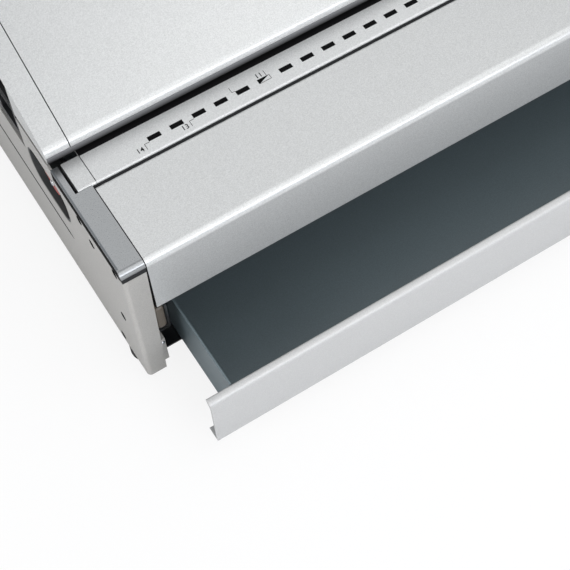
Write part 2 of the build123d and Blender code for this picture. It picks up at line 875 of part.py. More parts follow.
with BuildPart() as right_drive_frame:
    across(
        [
            (post_y + 12, frame_z[0]),
            (post_y + 12, cam_z + 18),
            (cam_y - 8, frame_z[1]),
            (motor_y + 20, frame_z[1]),
            (motor_y + 40, cam_z + 12),
            (motor_y + 44, frame_z[0]),
        ],
        (right_frame_x, right_frame_x + frame_sheet),
    )
    block(
        (right_frame_x - 16, right_frame_x), (motor_y + 2, motor_y + 42), (frame_z[0], frame_z[0] + 4)
    )
    rod_x(cam_y, cam_z, bearing_radius, (right_frame_x - 1, right_frame_x + 6), Mode.SUBTRACT)
    rod_x(motor_y, cam_z, 12.0, (right_frame_x - 1, right_frame_x + 6), Mode.SUBTRACT)
save(right_drive_frame, "right_drive_frame")

with BuildPart() as shaft_bearings:
    for x in (left_frame_x, right_frame_x):
        rod_x(cam_y, cam_z, bearing_radius, (x, x + frame_sheet))
        rod_x(cam_y, cam_z, bearing_radius + 2.5, (x - 2, x))
        rod_x(cam_y, cam_z, shaft_radius + 0.06, (x - 3, x + frame_sheet + 1), Mode.SUBTRACT)
save(shaft_bearings, "shaft_bearings")

with BuildPart() as gearbox:
    rod_x(motor_y, cam_z, gearbox_radius, (right_frame_x - gearbox_length, right_frame_x))
    rod_x(motor_y, cam_z, 11.5, (right_frame_x - 1, right_frame_x + 4))
    rod_x(motor_y, cam_z, 5.08, (right_frame_x - 10, right_frame_x + 5), Mode.SUBTRACT)
save(gearbox, "gearbox")

motor_high = right_frame_x - gearbox_length
motor_low = motor_high - motor_length
with BuildPart() as motor:
    rod_x(motor_y, cam_z, motor_radius, (motor_low, motor_high))
    chamfer(motor.faces().sort_by(Axis.X)[0].edges(), 4)
    rod_x(motor_y, cam_z, motor_boss[0], (motor_low - motor_boss[1], motor_low))
save(motor, "motor")

# die rails

rail_x = (die_x[0] + 3, die_x[1] + 2)
ledge_z = (die_low - 3.1, die_low - 0.1)
with BuildPart() as front_die_rail:
    across(
        [
            (die_y[0] - 2.8, deck_top),
            (die_y[0] - 2.8, table_z - table_sheet),
            (die_y[0] - 0.4, table_z - table_sheet),
            (die_y[0] - 0.4, ledge_z[1]),
            (die_y[0] + 5.3, ledge_z[1]),
            (die_y[0] + 5.3, ledge_z[0]),
            (die_y[0] - 0.4, ledge_z[0]),
            (die_y[0] - 0.4, deck_top),
        ],
        rail_x,
    )
save(front_die_rail, "front_die_rail")

with BuildPart() as rear_die_rail:
    across(
        [
            (die_y[1] + 2.0, deck_top),
            (die_y[1] + 2.0, die_top - 9),
            (die_y[1] + 0.4, die_top - 9),
            (die_y[1] + 0.4, ledge_z[1]),
            (die_y[1] - 5.3, ledge_z[1]),
            (die_y[1] - 5.3, ledge_z[0]),
            (die_y[1] + 0.4, ledge_z[0]),
            (die_y[1] + 0.4, deck_top),
        ],
        rail_x,
    )
save(rear_die_rail, "rear_die_rail")

# paper guides

gauge_y = (punch_y + 5.5, punch_y + 36)
gauge_z = (table_z + 0.5, table_z + 3.7)
with BuildPart() as back_gauge:
    block((first_pin_x, pins_end_x - 2), gauge_y, gauge_z)
    block((first_pin_x, pins_end_x - 2), (gauge_y[1] - 2, gauge_y[1]), (gauge_z[1], gauge_z[1] + 8))
save(back_gauge, "back_gauge")

bracket_y = (die_y[1] + 5, cam_y - shaft_radius - 2)
with BuildPart() as gauge_brackets:
    for x in (first_pin_x + 4, pins_end_x - 14):
        block((x, x + 5), bracket_y, (deck_top, gauge_z[0] - 0.1))
        block((x, x + 14), bracket_y, (deck_top, deck_top + 3))
save(gauge_brackets, "gauge_brackets")

with BuildPart() as edge_guide:
    block(
        (guide_x, guide_x + 16), (table_front + 1.6, die_y[0] - 8), (table_z + 0.1, table_z + throat - 0.3)
    )
    block((guide_x, guide_x + 16), (table_front + 1.6, nose_y - 1.5), (table_z + 0.1, table_z + 9))
    fillet(edge_near(edge_guide, Axis.X, guide_x + 8, table_front + 1.6, table_z + 9), 3)
save(edge_guide, "edge_guide")

# die release in the left hand recess

cup_wall = 1.5
cup_depth = 11.0
cup_gap = 0.2
lever_y, lever_z = sum(recess_y) / 2, sum(recess_z) / 2
hub_radius = 8.0
lever_pin = 3.0
with BuildPart() as release_cups:
    for side in (-1, 1):
        rounded(
            inset(recess_y, cup_gap),
            inset(recess_z, cup_gap),
            recess_corner - cup_gap,
            span(side, half - cup_depth, half - cup_gap),
        )
        hollow = cup_gap + cup_wall
        rounded(
            inset(recess_y, hollow),
            inset(recess_z, hollow),
            recess_corner - hollow,
            span(side, half - cup_depth + cup_wall, half + 1),
            Mode.SUBTRACT,
        )
    rod_x(lever_y, lever_z, lever_pin + 0.1, (-half, -half + cup_depth + 1), Mode.SUBTRACT)
save(release_cups, "release_cups")

lever_arm = 11.0
lever_width = 6.0
lever_face = 2.5  # the lever lies this far below the panel's face
with BuildPart() as die_release:
    floor_x = -half + cup_depth - cup_wall
    back_x = -half + cup_depth
    rod_x(lever_y, lever_z, hub_radius, (-half + lever_face, floor_x - 0.4))
    block(
        (-half + lever_face, floor_x - 3.0),
        (lever_y, lever_y + lever_arm),
        (lever_z - lever_width / 2, lever_z + lever_width / 2),
    )
    rod_x(lever_y, lever_z, lever_pin, (floor_x - 1, back_x + 3))
    # retaining collar behind the cup
    rod_x(lever_y, lever_z, lever_pin + 2, (back_x + 0.4, back_x + 3))
save(die_release, "die_release")

# electrics

board_x = (half - 210, half - 95)
board_y = (rear - 112, rear - 37)
board_z = (deck_top + 8.0, deck_top + 9.6)
with BuildPart() as control_board:
    block(board_x, board_y, board_z)
    for x in (board_x[0] + 6, board_x[1] - 6):
        for y in (board_y[0] + 6, board_y[1] - 6):
            rod_z(x, y, 3, (deck_top, board_z[0]))
    # transformer, relay and smoothing capacitor
    block((board_x[0] + 10, board_x[0] + 38), (board_y[0] + 15, board_y[0] + 40), (board_z[1], board_z[1] + 17))
    block((board_x[0] + 46, board_x[0] + 70), (board_y[0] + 15, board_y[0] + 45), (board_z[1], board_z[1] + 14))
    rod_z(board_x[1] - 25, board_y[0] + 30, 11, (board_z[1], board_z[1] + 30))
save(control_board, "control_board")

supply_x, supply_y = -50.0, rear - 84.5  # middle of the power supply
supply_foot = (120.0, 85.0, 4.0)
supply_core = (90.0, 65.0, 58.0)
supply_coil = (64.0, 81.0, 38.0)


def centred(x, y, size, low):
    """A box of a given size, centred over a point."""
    half_x, half_y = size[0] / 2, size[1] / 2
    block((x - half_x, x + half_x), (y - half_y, y + half_y), (low, low + size[2]))


with BuildPart() as power_supply:
    centred(supply_x, supply_y, supply_foot, deck_top)
    centred(supply_x, supply_y, supply_core, deck_top + supply_foot[2])
    centred(supply_x, supply_y, supply_coil, deck_top + supply_foot[2] + 10)
save(power_supply, "power_supply")

inlet_flange = (46.0, 26.0)
inlet_deep = 24.0
socket_size = (23.0, 15.0)
socket_deep = 18.0
blade_pitch = 7.0
blade_shy = 6.0  # the blades end this far inside the socket
with BuildPart() as power_inlet:
    block(
        (inlet_x - inlet_flange[0] / 2, inlet_x + inlet_flange[0] / 2),
        (rear + 0.02, depth),
        (fitting_z - inlet_flange[1] / 2, fitting_z + inlet_flange[1] / 2),
    )
    block(
        (inlet_x - inlet_size[0] / 2 + 0.3, inlet_x + inlet_size[0] / 2 - 0.3),
        (depth - inlet_deep, depth),
        (fitting_z - inlet_size[1] / 2 + 0.3, fitting_z + inlet_size[1] / 2 - 0.3),
    )
    block(
        (inlet_x - socket_size[0] / 2, inlet_x + socket_size[0] / 2),
        (depth - socket_deep, depth + 1),
        (fitting_z - socket_size[1] / 2, fitting_z + socket_size[1] / 2),
        Mode.SUBTRACT,
    )
    for x in (-blade_pitch, 0, blade_pitch):
        block(
            (inlet_x + x - 1, inlet_x + x + 1),
            (depth - socket_deep - 1, depth - blade_shy),
            (fitting_z - 2, fitting_z + 2),
        )
save(power_inlet, "power_inlet")

with BuildPart() as switch_frame:
    block(
        (switch_x - switch_size[0] / 2 - 2, switch_x + switch_size[0] / 2 + 2),
        (rear + 0.02, depth - 1),
        (fitting_z - switch_size[1] / 2 - 2, fitting_z + switch_size[1] / 2 + 2),
    )
    block(
        (switch_x - switch_size[0] / 2 + 0.2, switch_x + switch_size[0] / 2 - 0.2),
        (rear - 22, depth - 1),
        (fitting_z - switch_size[1] / 2 + 0.2, fitting_z + switch_size[1] / 2 - 0.2),
    )
    block((switch_x - 7.5, switch_x + 7.5), (rear - 7, depth), (fitting_z - 11, fitting_z + 11), Mode.SUBTRACT)
save(switch_frame, "switch_frame")

with BuildPart() as power_rocker:
    across(
        [
            (rear - 4.4, fitting_z - 2),
            (rear - 1.2, fitting_z - 9.6),
            (depth - 1.4, fitting_z - 10.2),
            (rear + 0.4, fitting_z),
            (rear - 0.4, fitting_z + 10.2),
            (rear - 2.6, fitting_z + 9.8),
            (rear - 4.4, fitting_z + 2),
        ],
        (switch_x - 7.1, switch_x + 7.1),
    )
save(power_rocker, "power_rocker")

jack_radius = 3.25
with BuildPart() as pedal_socket:
    rod_y(pedal_x, fitting_z, 8.5, (rear + 0.02, depth - 0.6))
    rod_y(pedal_x, fitting_z, 6.4, (rear - 22, depth - 0.6))
    rod_y(pedal_x, fitting_z, jack_radius, (rear - 18, depth), Mode.SUBTRACT)
save(pedal_socket, "pedal_socket")

with BuildPart() as fuse_holder:
    rod_y(fuse_x, fitting_z, 8.5, (rear + 0.02, depth - 0.4))
    rod_y(fuse_x, fitting_z, 6.4, (rear - 30, depth - 0.4))
    block((fuse_x - 5, fuse_x + 5), (depth - 1.4, depth), (fitting_z - 0.7, fitting_z + 0.7), Mode.SUBTRACT)
save(fuse_holder, "fuse_holder")

# screws in the side panels

screw_head = 1.4
shank_radius = 1.5
with BuildPart() as panel_screws:
    for side in (-1, 1):
        for y, z in screw_spots:
            head_x = half - screw_sink
            rod_x(y, z, screw_radius, span(side, head_x - screw_head, head_x))
            rod_x(y, z, shank_radius, span(side, head_x - screw_head - 5, head_x - screw_head))
save(panel_screws, "panel_screws")
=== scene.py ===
import math

import bmesh
import bpy
from mathutils import Matrix, Vector


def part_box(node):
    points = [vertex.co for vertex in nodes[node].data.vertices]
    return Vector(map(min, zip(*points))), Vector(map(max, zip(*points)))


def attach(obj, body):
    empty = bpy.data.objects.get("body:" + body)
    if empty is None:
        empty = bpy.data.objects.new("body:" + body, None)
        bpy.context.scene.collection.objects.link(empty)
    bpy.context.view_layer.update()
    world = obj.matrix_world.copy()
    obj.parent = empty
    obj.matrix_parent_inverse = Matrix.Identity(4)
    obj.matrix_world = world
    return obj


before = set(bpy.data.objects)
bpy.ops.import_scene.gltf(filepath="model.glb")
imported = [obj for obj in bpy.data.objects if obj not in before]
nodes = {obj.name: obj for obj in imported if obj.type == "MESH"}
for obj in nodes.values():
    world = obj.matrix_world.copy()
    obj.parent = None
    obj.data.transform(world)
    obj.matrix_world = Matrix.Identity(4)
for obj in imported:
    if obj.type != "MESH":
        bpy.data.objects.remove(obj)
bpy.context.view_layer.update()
print("frame loaded,", len(nodes), "nodes")

mm = 0.001


def tone(red, green, blue):
    # a colour as it is seen, 0 to 255, turned into the shader's own scale
    def channel(value):
        share = value / 255
        return share / 12.92 if share <= 0.04045 else ((share + 0.055) / 1.055) ** 2.4

    return (channel(red), channel(green), channel(blue), 1.0)


def boxOf(name):
    low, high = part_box(name)
    return Vector(low), Vector(high)


# camera: placed from the printed comb marks, which are 14.2875 mm apart

cameraView = dict(
    place=(-0.3574, -0.5539, 0.7415),
    turn=(30.394, 2.686, -31.905),  # degrees about X, Y and Z
    lens=87.56,
    sensor=36.0,
    clip=0.05,
)


def makeCamera(values):
    data = bpy.data.cameras.new("camera")
    data.lens = values["lens"]
    data.sensor_width = values["sensor"]
    data.clip_start = values["clip"]
    camera = bpy.data.objects.new("camera", data)
    camera.location = values["place"]
    camera.rotation_euler = [math.radians(angle) for angle in values["turn"]]
    bpy.context.scene.collection.objects.link(camera)
    bpy.context.scene.camera = camera


makeCamera(cameraView)
bpy.context.scene.view_settings.view_transform = "Standard"
print("camera set")

# light, floor and background

lamps = {
    "overheadSoftbox": dict(place=(0.30, 0.85, 1.85), aim=(-0.05, 0, 0.1), size=(2.4, 1.5), power=10.5),
    "slopeSoftbox": dict(place=(0.45, -0.75, 1.9), aim=(-0.05, -0.05, 0.15), size=(2.2, 1.1), power=12.5),
    "bendSoftbox": dict(place=(0.40, -1.40, 1.30), aim=(-0.05, -0.15, 0.12), size=(1.6, 0.5), power=3.6),
    "frontSoftbox": dict(
        place=(0.05, -1.7, 0.75),
        aim=(-0.05, -0.15, 0.08),
        size=(1.8, 0.5),
        power=15,
        tint=(0.93, 0.95, 1.0),
    ),
    "sideSoftbox": dict(place=(-1.8, -0.3, 0.7), aim=(-0.2, 0, 0.1), size=(1.2, 0.8), power=10),
}
roomLight = dict(fill=tone(214, 217, 222), fillStrength=0.40, background=(1, 1, 1, 1))
floorLook = dict(colour=tone(247, 247, 247), rough=0.6, glow=0.86, half=4.0)


def makeLamps(values):
    for name, lamp in values.items():
        data = bpy.data.lights.new(name, "AREA")
        data.shape = "RECTANGLE"
        data.size, data.size_y = lamp["size"]
        data.energy = lamp["power"]
        data.color = lamp.get("tint", (1, 1, 1))
        holder = bpy.data.objects.new(name, data)
        holder.location = lamp["place"]
        away = Vector(lamp["place"]) - Vector(lamp["aim"])
        holder.rotation_euler = away.to_track_quat("Z", "Y").to_euler()
        bpy.context.scene.collection.objects.link(holder)


def seenRay(tree):
    # 1 where the eye looks straight at it, also through a pane of glass
    path = tree.nodes.new("ShaderNodeLightPath")
    first = tree.nodes.new("ShaderNodeMath")
    first.operation = "MAXIMUM"
    tree.links.new(path.outputs["Is Camera Ray"], first.inputs[0])
    tree.links.new(path.outputs["Is Transmission Ray"], first.inputs[1])
    return first.outputs[0]


def makeWorld(values):
    world = bpy.data.worlds.new("room")
    bpy.context.scene.world = world
    world.use_nodes = True
    tree = world.node_tree
    tree.nodes.clear()
    fill = tree.nodes.new("ShaderNodeBackground")
    fill.inputs["Color"].default_value = values["fill"]
    fill.inputs["Strength"].default_value = values["fillStrength"]
    seen = tree.nodes.new("ShaderNodeBackground")
    seen.inputs["Color"].default_value = values["background"]
    mix = tree.nodes.new("ShaderNodeMixShader")
    out = tree.nodes.new("ShaderNodeOutputWorld")
    tree.links.new(seenRay(tree), mix.inputs[0])
    tree.links.new(fill.outputs[0], mix.inputs[1])
    tree.links.new(seen.outputs[0], mix.inputs[2])
    tree.links.new(mix.outputs[0], out.inputs["Surface"])


def makeFloor(values):
    mesh = bpy.data.meshes.new("floor")
    half = values["half"]
    corners = [(-half, -half, 0), (half, -half, 0), (half, half, 0), (-half, half, 0)]
    mesh.from_pydata(corners, [], [(0, 1, 2, 3)])
    floor = bpy.data.objects.new("floor", mesh)
    bpy.context.scene.collection.objects.link(floor)
    material = bpy.data.materials.new("paleFloor")
    material.use_nodes = True
    tree = material.node_tree
    tree.nodes.clear()
    matt = tree.nodes.new("ShaderNodeBsdfDiffuse")
    matt.inputs["Color"].default_value = values["colour"]
    glow = tree.nodes.new("ShaderNodeEmission")
    share = tree.nodes.new("ShaderNodeMath")
    share.operation = "MULTIPLY"
    share.inputs[1].default_value = values["glow"]
    mix = tree.nodes.new("ShaderNodeMixShader")
    out = tree.nodes.new("ShaderNodeOutputMaterial")
    tree.links.new(seenRay(tree), share.inputs[0])
    tree.links.new(share.outputs[0], mix.inputs[0])
    tree.links.new(matt.outputs[0], mix.inputs[1])
    tree.links.new(glow.outputs[0], mix.inputs[2])
    tree.links.new(mix.outputs[0], out.inputs["Surface"])
    mesh.materials.append(material)


makeLamps(lamps)
makeWorld(roomLight)
makeFloor(floorLook)
print("light and floor set")

# finishes

# what all finishes share
finishBase = dict(
    grainDetail=2.0,
    cloud=9,  # broad unevenness
    cloudDetail=3.0,
    ramp=(0.35, 0.65),
    flakeScale=2600,
    coatRough=0.2,
    roughSpread=0.05,
    reliefDepth=0.0002,
)


def scaled(tree, painted, level):
    blend = tree.nodes.new("ShaderNodeVectorMath")
    blend.operation = "SCALE"
    tree.links.new(painted, blend.inputs[0])
    tree.links.new(level.outputs[0], blend.inputs["Scale"])
    return blend.outputs[0]


def flakes(tree, place, painted, look):
    # fine metal flakes in the paint, some brighter and some darker than the rest
    cells = tree.nodes.new("ShaderNodeTexVoronoi")
    cells.inputs["Scale"].default_value = finishBase["flakeScale"]
    split = tree.nodes.new("ShaderNodeSeparateColor")
    level = tree.nodes.new("ShaderNodeMapRange")
    level.inputs["To Min"].default_value = 1 - look["flake"]
    level.inputs["To Max"].default_value = 1 + look["flake"]
    tree.links.new(place.outputs["Object"], cells.inputs["Vector"])
    tree.links.new(cells.outputs["Color"], split.inputs[0])
    tree.links.new(split.outputs[0], level.inputs["Value"])
    return scaled(tree, painted, level)


def paintedShadeFade(tree, place, painted, look):
    # painted shade: darkens the colour from one height down to another
    split = tree.nodes.new("ShaderNodeSeparateXYZ")
    level = tree.nodes.new("ShaderNodeMapRange")
    level.inputs["From Min"].default_value = look["fadeHigh"]
    level.inputs["From Max"].default_value = look["fadeLow"]
    level.inputs["To Min"].default_value = 1.0
    level.inputs["To Max"].default_value = look["fadeShare"]
    tree.links.new(place.outputs["Object"], split.inputs[0])
    tree.links.new(split.outputs["Z"], level.inputs["Value"])
    return scaled(tree, painted, level)


def finish(name, look):
    # one finish: fine grain, flakes, broad unevenness, roughness and relief
    material = bpy.data.materials.new(name)
    material.use_nodes = True
    tree = material.node_tree
    tree.nodes.clear()
    link = tree.links.new
    out = tree.nodes.new("ShaderNodeOutputMaterial")
    shader = tree.nodes.new("ShaderNodeBsdfPrincipled")
    shader.inputs["Metallic"].default_value = look.get("metal", 0.0)
    shader.inputs["Coat Weight"].default_value = look.get("coat", 0.0)
    shader.inputs["Coat Roughness"].default_value = finishBase["coatRough"]
    shader.inputs["Specular IOR Level"].default_value = look.get("gloss", 0.5)
    link(shader.outputs[0], out.inputs["Surface"])

    place = tree.nodes.new("ShaderNodeTexCoord")
    stretch = tree.nodes.new("ShaderNodeMapping")
    stretch.inputs["Scale"].default_value = look.get("stretch", (1, 1, 1))
    link(place.outputs["Object"], stretch.inputs["Vector"])
    grain = tree.nodes.new("ShaderNodeTexNoise")
    grain.inputs["Scale"].default_value = look["grain"]
    grain.inputs["Detail"].default_value = finishBase["grainDetail"]
    link(stretch.outputs[0], grain.inputs["Vector"])
    cloud = tree.nodes.new("ShaderNodeTexNoise")
    cloud.inputs["Scale"].default_value = finishBase["cloud"]
    cloud.inputs["Detail"].default_value = finishBase["cloudDetail"]
    link(place.outputs["Object"], cloud.inputs["Vector"])

    ramp = tree.nodes.new("ShaderNodeValToRGB")
    shades = (1 - look["speckle"], 1 + look["speckle"])
    for stop, position, shade in zip(ramp.color_ramp.elements, finishBase["ramp"], shades):
        stop.position = position
        stop.color = [min(1, channel * shade) for channel in look["colour"][:3]] + [1]
    link(grain.outputs["Fac"], ramp.inputs["Fac"])
    patch = tree.nodes.new("ShaderNodeMix")
    patch.data_type = "RGBA"
    patch.blend_type = "MULTIPLY"
    patch.inputs["B"].default_value = [1 - look["uneven"]] * 3 + [1]
    link(cloud.outputs["Fac"], patch.inputs["Factor"])
    painted = ramp.outputs["Color"]
    if "flake" in look:
        painted = flakes(tree, place, painted, look)
    if "fadeShare" in look:
        painted = paintedShadeFade(tree, place, painted, look)
    link(painted, patch.inputs["A"])
    link(patch.outputs["Result"], shader.inputs["Base Color"])

    rough = tree.nodes.new("ShaderNodeMapRange")
    rough.inputs["To Min"].default_value = look["rough"] - finishBase["roughSpread"]
    rough.inputs["To Max"].default_value = look["rough"] + finishBase["roughSpread"]
    link(grain.outputs["Fac"], rough.inputs["Value"])
    link(rough.outputs[0], shader.inputs["Roughness"])

    relief = tree.nodes.new("ShaderNodeBump")
    relief.inputs["Strength"].default_value = look["relief"]
    relief.inputs["Distance"].default_value = finishBase["reliefDepth"]
    link(grain.outputs["Fac"], relief.inputs["Height"])
    link(relief.outputs[0], shader.inputs["Normal"])
    return material


# powder paints with flakes
coverLook = dict(
    colour=tone(206, 207, 206), metal=0.45, rough=0.36,
    grain=2200, speckle=0.05, flake=0.11, relief=0.12, uneven=0.03,
)
tableLook = dict(
    colour=tone(212, 213, 212), metal=0.2, rough=0.38,
    grain=2200, speckle=0.05, flake=0.10, relief=0.12, uneven=0.03,
)
stripLook = dict(
    colour=tone(156, 158, 159), metal=0.8, rough=0.29,
    grain=2200, speckle=0.04, flake=0.05, relief=0.05, uneven=0.04,
)
sideLook = dict(
    colour=tone(184, 182, 178), metal=0.35, rough=0.45,
    grain=1800, speckle=0.05, flake=0.08, relief=0.12, uneven=0.06,
)
facingLook = dict(
    colour=tone(196, 196, 195), metal=0.30, rough=0.46,
    grain=1900, speckle=0.03, flake=0.06, relief=0.06, uneven=0.04,
)
trayLook = dict(
    colour=tone(106, 119, 124), metal=0.15, rough=0.38,
    grain=1600, speckle=0.06, flake=0.06, relief=0.10, uneven=0.12,
)

# plain paints
blackPaintLook = dict(
    colour=tone(30, 31, 33), metal=0.1, rough=0.42, grain=1500, speckle=0.10, relief=0.15, uneven=0.15,
)
throatLook = dict(
    colour=tone(15, 15, 16), rough=0.55, grain=1500, speckle=0.12, relief=0.15, uneven=0.15, gloss=0.3,
)
# painted shade on the nose's lower face: grey, darkening almost to black towards the lip
noseShadeLook = dict(
    colour=tone(122, 122, 124), rough=0.5, grain=1700, speckle=0.08, relief=0.12, uneven=0.1, gloss=0.3,
    fadeHigh=0.1352, fadeLow=0.1316, fadeShare=0.06,
)
framePaintLook = dict(
    colour=tone(66, 69, 72), metal=0.15, rough=0.5, grain=1100, speckle=0.08, relief=0.3, uneven=0.1,
)
motorLook = dict(
    colour=tone(38, 41, 46), metal=0.2, rough=0.4, grain=1300, speckle=0.10, relief=0.25, uneven=0.1,
)

# metals
platedLook = dict(
    colour=tone(182, 184, 186), metal=0.9, rough=0.34,
    grain=700, stretch=(0.15, 1, 1), speckle=0.08, relief=0.08, uneven=0.10,
)
groundLook = dict(
    colour=tone(168, 168, 170), metal=1.0, rough=0.26,
    grain=1600, stretch=(0.04, 1, 1), speckle=0.09, relief=0.06, uneven=0.08,
)
milledLook = dict(
    colour=tone(150, 151, 154), metal=1.0, rough=0.36,
    grain=900, stretch=(0.06, 1, 1), speckle=0.10, relief=0.08, uneven=0.12,
)
bronzeLook = dict(
    colour=tone(196, 150, 88), metal=0.9, rough=0.38, grain=3000, speckle=0.16, relief=0.2, uneven=0.12,
)
brassLook = dict(
    colour=tone(206, 172, 96), metal=1.0, rough=0.30, grain=1400, speckle=0.08, relief=0.06, uneven=0.08,
)
castLook = dict(
    colour=tone(168, 170, 172), metal=0.8, rough=0.5, grain=800, speckle=0.10, relief=0.4, uneven=0.1,
)
chromeLook = dict(
    colour=tone(200, 201, 203), metal=1.0, rough=0.14, grain=900, speckle=0.04, relief=0.03, uneven=0.05,
)
# painted shade for the outer top edges of the deck strips
edgeLook = dict(
    colour=tone(112, 116, 119), metal=0.4, rough=0.4, grain=1700, speckle=0.06, relief=0.08, uneven=0.08,
)

# plastics, rubber, board and print
mouldingLook = dict(colour=tone(34, 34, 36), rough=0.46, grain=1900, speckle=0.10, relief=0.3, uneven=0.1)
panelLook = dict(colour=tone(60, 63, 66), rough=0.5, grain=1700, speckle=0.08, relief=0.35, uneven=0.06)
# painted shade: the cups are in the side panels' paint; this darker grey is their painted shade
shadedCupLook = dict(colour=tone(74, 76, 76), rough=0.5, grain=1700, speckle=0.08, relief=0.3, uneven=0.08)
nylonLook = dict(colour=tone(96, 88, 78), rough=0.45, grain=1500, speckle=0.06, relief=0.12, uneven=0.1)
greenLook = dict(
    colour=tone(52, 146, 84), rough=0.28, grain=900, speckle=0.04, relief=0.05, coat=0.4, uneven=0.06,
)
redLook = dict(
    colour=tone(186, 48, 38), rough=0.30, grain=900, speckle=0.04, relief=0.05, coat=0.4, uneven=0.06,
)
lensLook = dict(
    colour=tone(96, 200, 104), rough=0.15, grain=600, speckle=0.05, relief=0.02, coat=0.7, uneven=0.1,
)
boardLook = dict(
    colour=tone(34, 92, 58), rough=0.4, grain=500, speckle=0.10, relief=0.1, coat=0.3, uneven=0.1,
)
rubberLook = dict(colour=tone(26, 26, 27), rough=0.72, grain=1300, speckle=0.14, relief=0.5, uneven=0.2)
foamLook = dict(colour=tone(28, 29, 31), rough=0.9, grain=1700, speckle=0.25, relief=0.7, uneven=0.2)
# painted shade: the dark of gaps, seams, the side slits and screw recesses
seamLook = dict(
    colour=tone(14, 14, 15), rough=0.85, grain=1700, speckle=0.2, relief=0.3, uneven=0.2, gloss=0.1,
)
inkLook = dict(
    colour=tone(12, 12, 13), rough=0.7, grain=2500, speckle=0.10, relief=0.05, uneven=0.08, gloss=0.08,
)
paleInkLook = dict(
    colour=tone(214, 216, 216), rough=0.5, grain=2500, speckle=0.04, relief=0.05, uneven=0.04,
)

# each finish with the nodes that wear it
nodeFinish = {
    "coverPaint": (
        coverLook,
        ["front_cover", "upper_cover", "left_end_cap", "right_end_cap", "left_end_block", "right_end_block"],
    ),
    "tablePaint": (tableLook, ["paper_table"]),
    "stripPaint": (stripLook, ["left_deck_strip", "right_deck_strip"]),
    "sidePaint": (sideLook, ["left_side_panel", "right_side_panel", "rear_panel"]),
    "facingPaint": (facingLook, ["drawer_front"]),
    "slatePaint": (trayLook, ["drawer_tray"]),
    "blackPaint": (blackPaintLook, ["base_plate"]),
    "throatBlack": (throatLook, ["upper_throat_plate"]),
    "platedSheet": (
        platedLook,
        [
            "mechanism_deck", "drawer_runners", "front_die_rail", "rear_die_rail", "back_gauge",
            "gauge_brackets", "power_supply",
        ],
    ),
    "groundSteel": (groundLook, ["die_block", "die_stripper", "die_spacers", "punch_pins", "cam_shaft"]),
    "milledSteel": (
        milledLook,
        ["pin_retainer", "pressure_bar", "ram_yokes", "eccentrics", "drive_gear", "drive_pinion"],
    ),
    "sinteredBronze": (bronzeLook, ["ram_bushes", "shaft_bearings"]),
    "framePaint": (framePaintLook, ["left_drive_frame", "right_drive_frame"]),
    "castHousing": (castLook, ["gearbox"]),
    "motorPaint": (motorLook, ["motor"]),
    "blackMoulding": (
        mouldingLook,
        [
            "die_handle", "edge_guide", "power_inlet", "switch_frame", "power_rocker", "pedal_socket",
            "fuse_holder", "mode_knob", "margin_knob",
        ],
    ),
    "shadedCupPaint": (shadedCupLook, ["release_cups"]),
    "panelMoulding": (panelLook, ["control_panel"]),
    "greenCap": (greenLook, ["punch_button"]),
    "redCap": (redLook, ["reverse_button", "die_release"]),
    "lens": (lensLook, ["indicator_lens"]),
    "footRubber": (rubberLook, ["rubber_feet"]),
    "sealFoamAndShade": (foamLook, ["strip_seals"]),
    "circuitBoard": (boardLook, ["control_board"]),
    "platedScrew": (chromeLook, ["guide_posts", "panel_screws"]),
}

# finishes that only the small pieces have
pieceFinish = {
    "ink": inkLook,
    "paleInk": paleInkLook,
    "seamShade": seamLook,
    "catchNylon": nylonLook,
    "brassBlade": brassLook,
    "noseShadeFade": noseShadeLook,
    "edgeShade": edgeLook,
}

finishes = {}
dressed = set()
for finishName, (look, members) in nodeFinish.items():
    finishes[finishName] = finish(finishName, look)
    for member in members:
        dressed.add(member)
        for materialSlot in nodes[member].material_slots:
            materialSlot.material = finishes[finishName]
for finishName, look in pieceFinish.items():
    finishes[finishName] = finish(finishName, look)
print("finishes given, left over:", sorted(set(nodes) - dressed))

# helpers for the small pieces


def addPiece(name, mesh, body, finishName):
    mesh.materials.clear()
    mesh.materials.append(finishes[finishName])
    piece = bpy.data.objects.new(name, mesh)
    bpy.context.scene.collection.objects.link(piece)
    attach(piece, body)


def meshFrom(form):
    bmesh.ops.recalc_face_normals(form, faces=form.faces)
    mesh = bpy.data.meshes.new("piece")
    form.to_mesh(mesh)
    form.free()
    return mesh


def plates(outlines, low, high, turn=Matrix.Identity(4)):
    # thin closed plates from flat outlines, in one mesh
    form = bmesh.new()
    for outline in outlines:
        bottom = [form.verts.new(turn @ Vector((x, y, low))) for x, y in outline]
        top = [form.verts.new(turn @ Vector((x, y, high))) for x, y in outline]
        form.faces.new(list(reversed(bottom)))
        form.faces.new(top)
        count = len(outline)
        for i in range(count):
            form.faces.new((bottom[i], bottom[(i + 1) % count], top[(i + 1) % count], top[i]))
    return meshFrom(form)


def softBox(x, y, z, radius, turn=Matrix.Identity(4)):
    # a box with rounded edges, from its reach along each axis
    form = bmesh.new()
    bmesh.ops.create_cube(form, size=1)
    size = [high - low for low, high in (x, y, z)]
    middle = [(high + low) / 2 for low, high in (x, y, z)]
    for vert in form.verts:
        vert.co = Vector([vert.co[i] * size[i] + middle[i] for i in range(3)])
    bmesh.ops.bevel(form, geom=form.edges[:], offset=radius, segments=3, profile=0.5, affect="EDGES")
    bmesh.ops.transform(form, matrix=turn, verts=form.verts)
    return meshFrom(form)


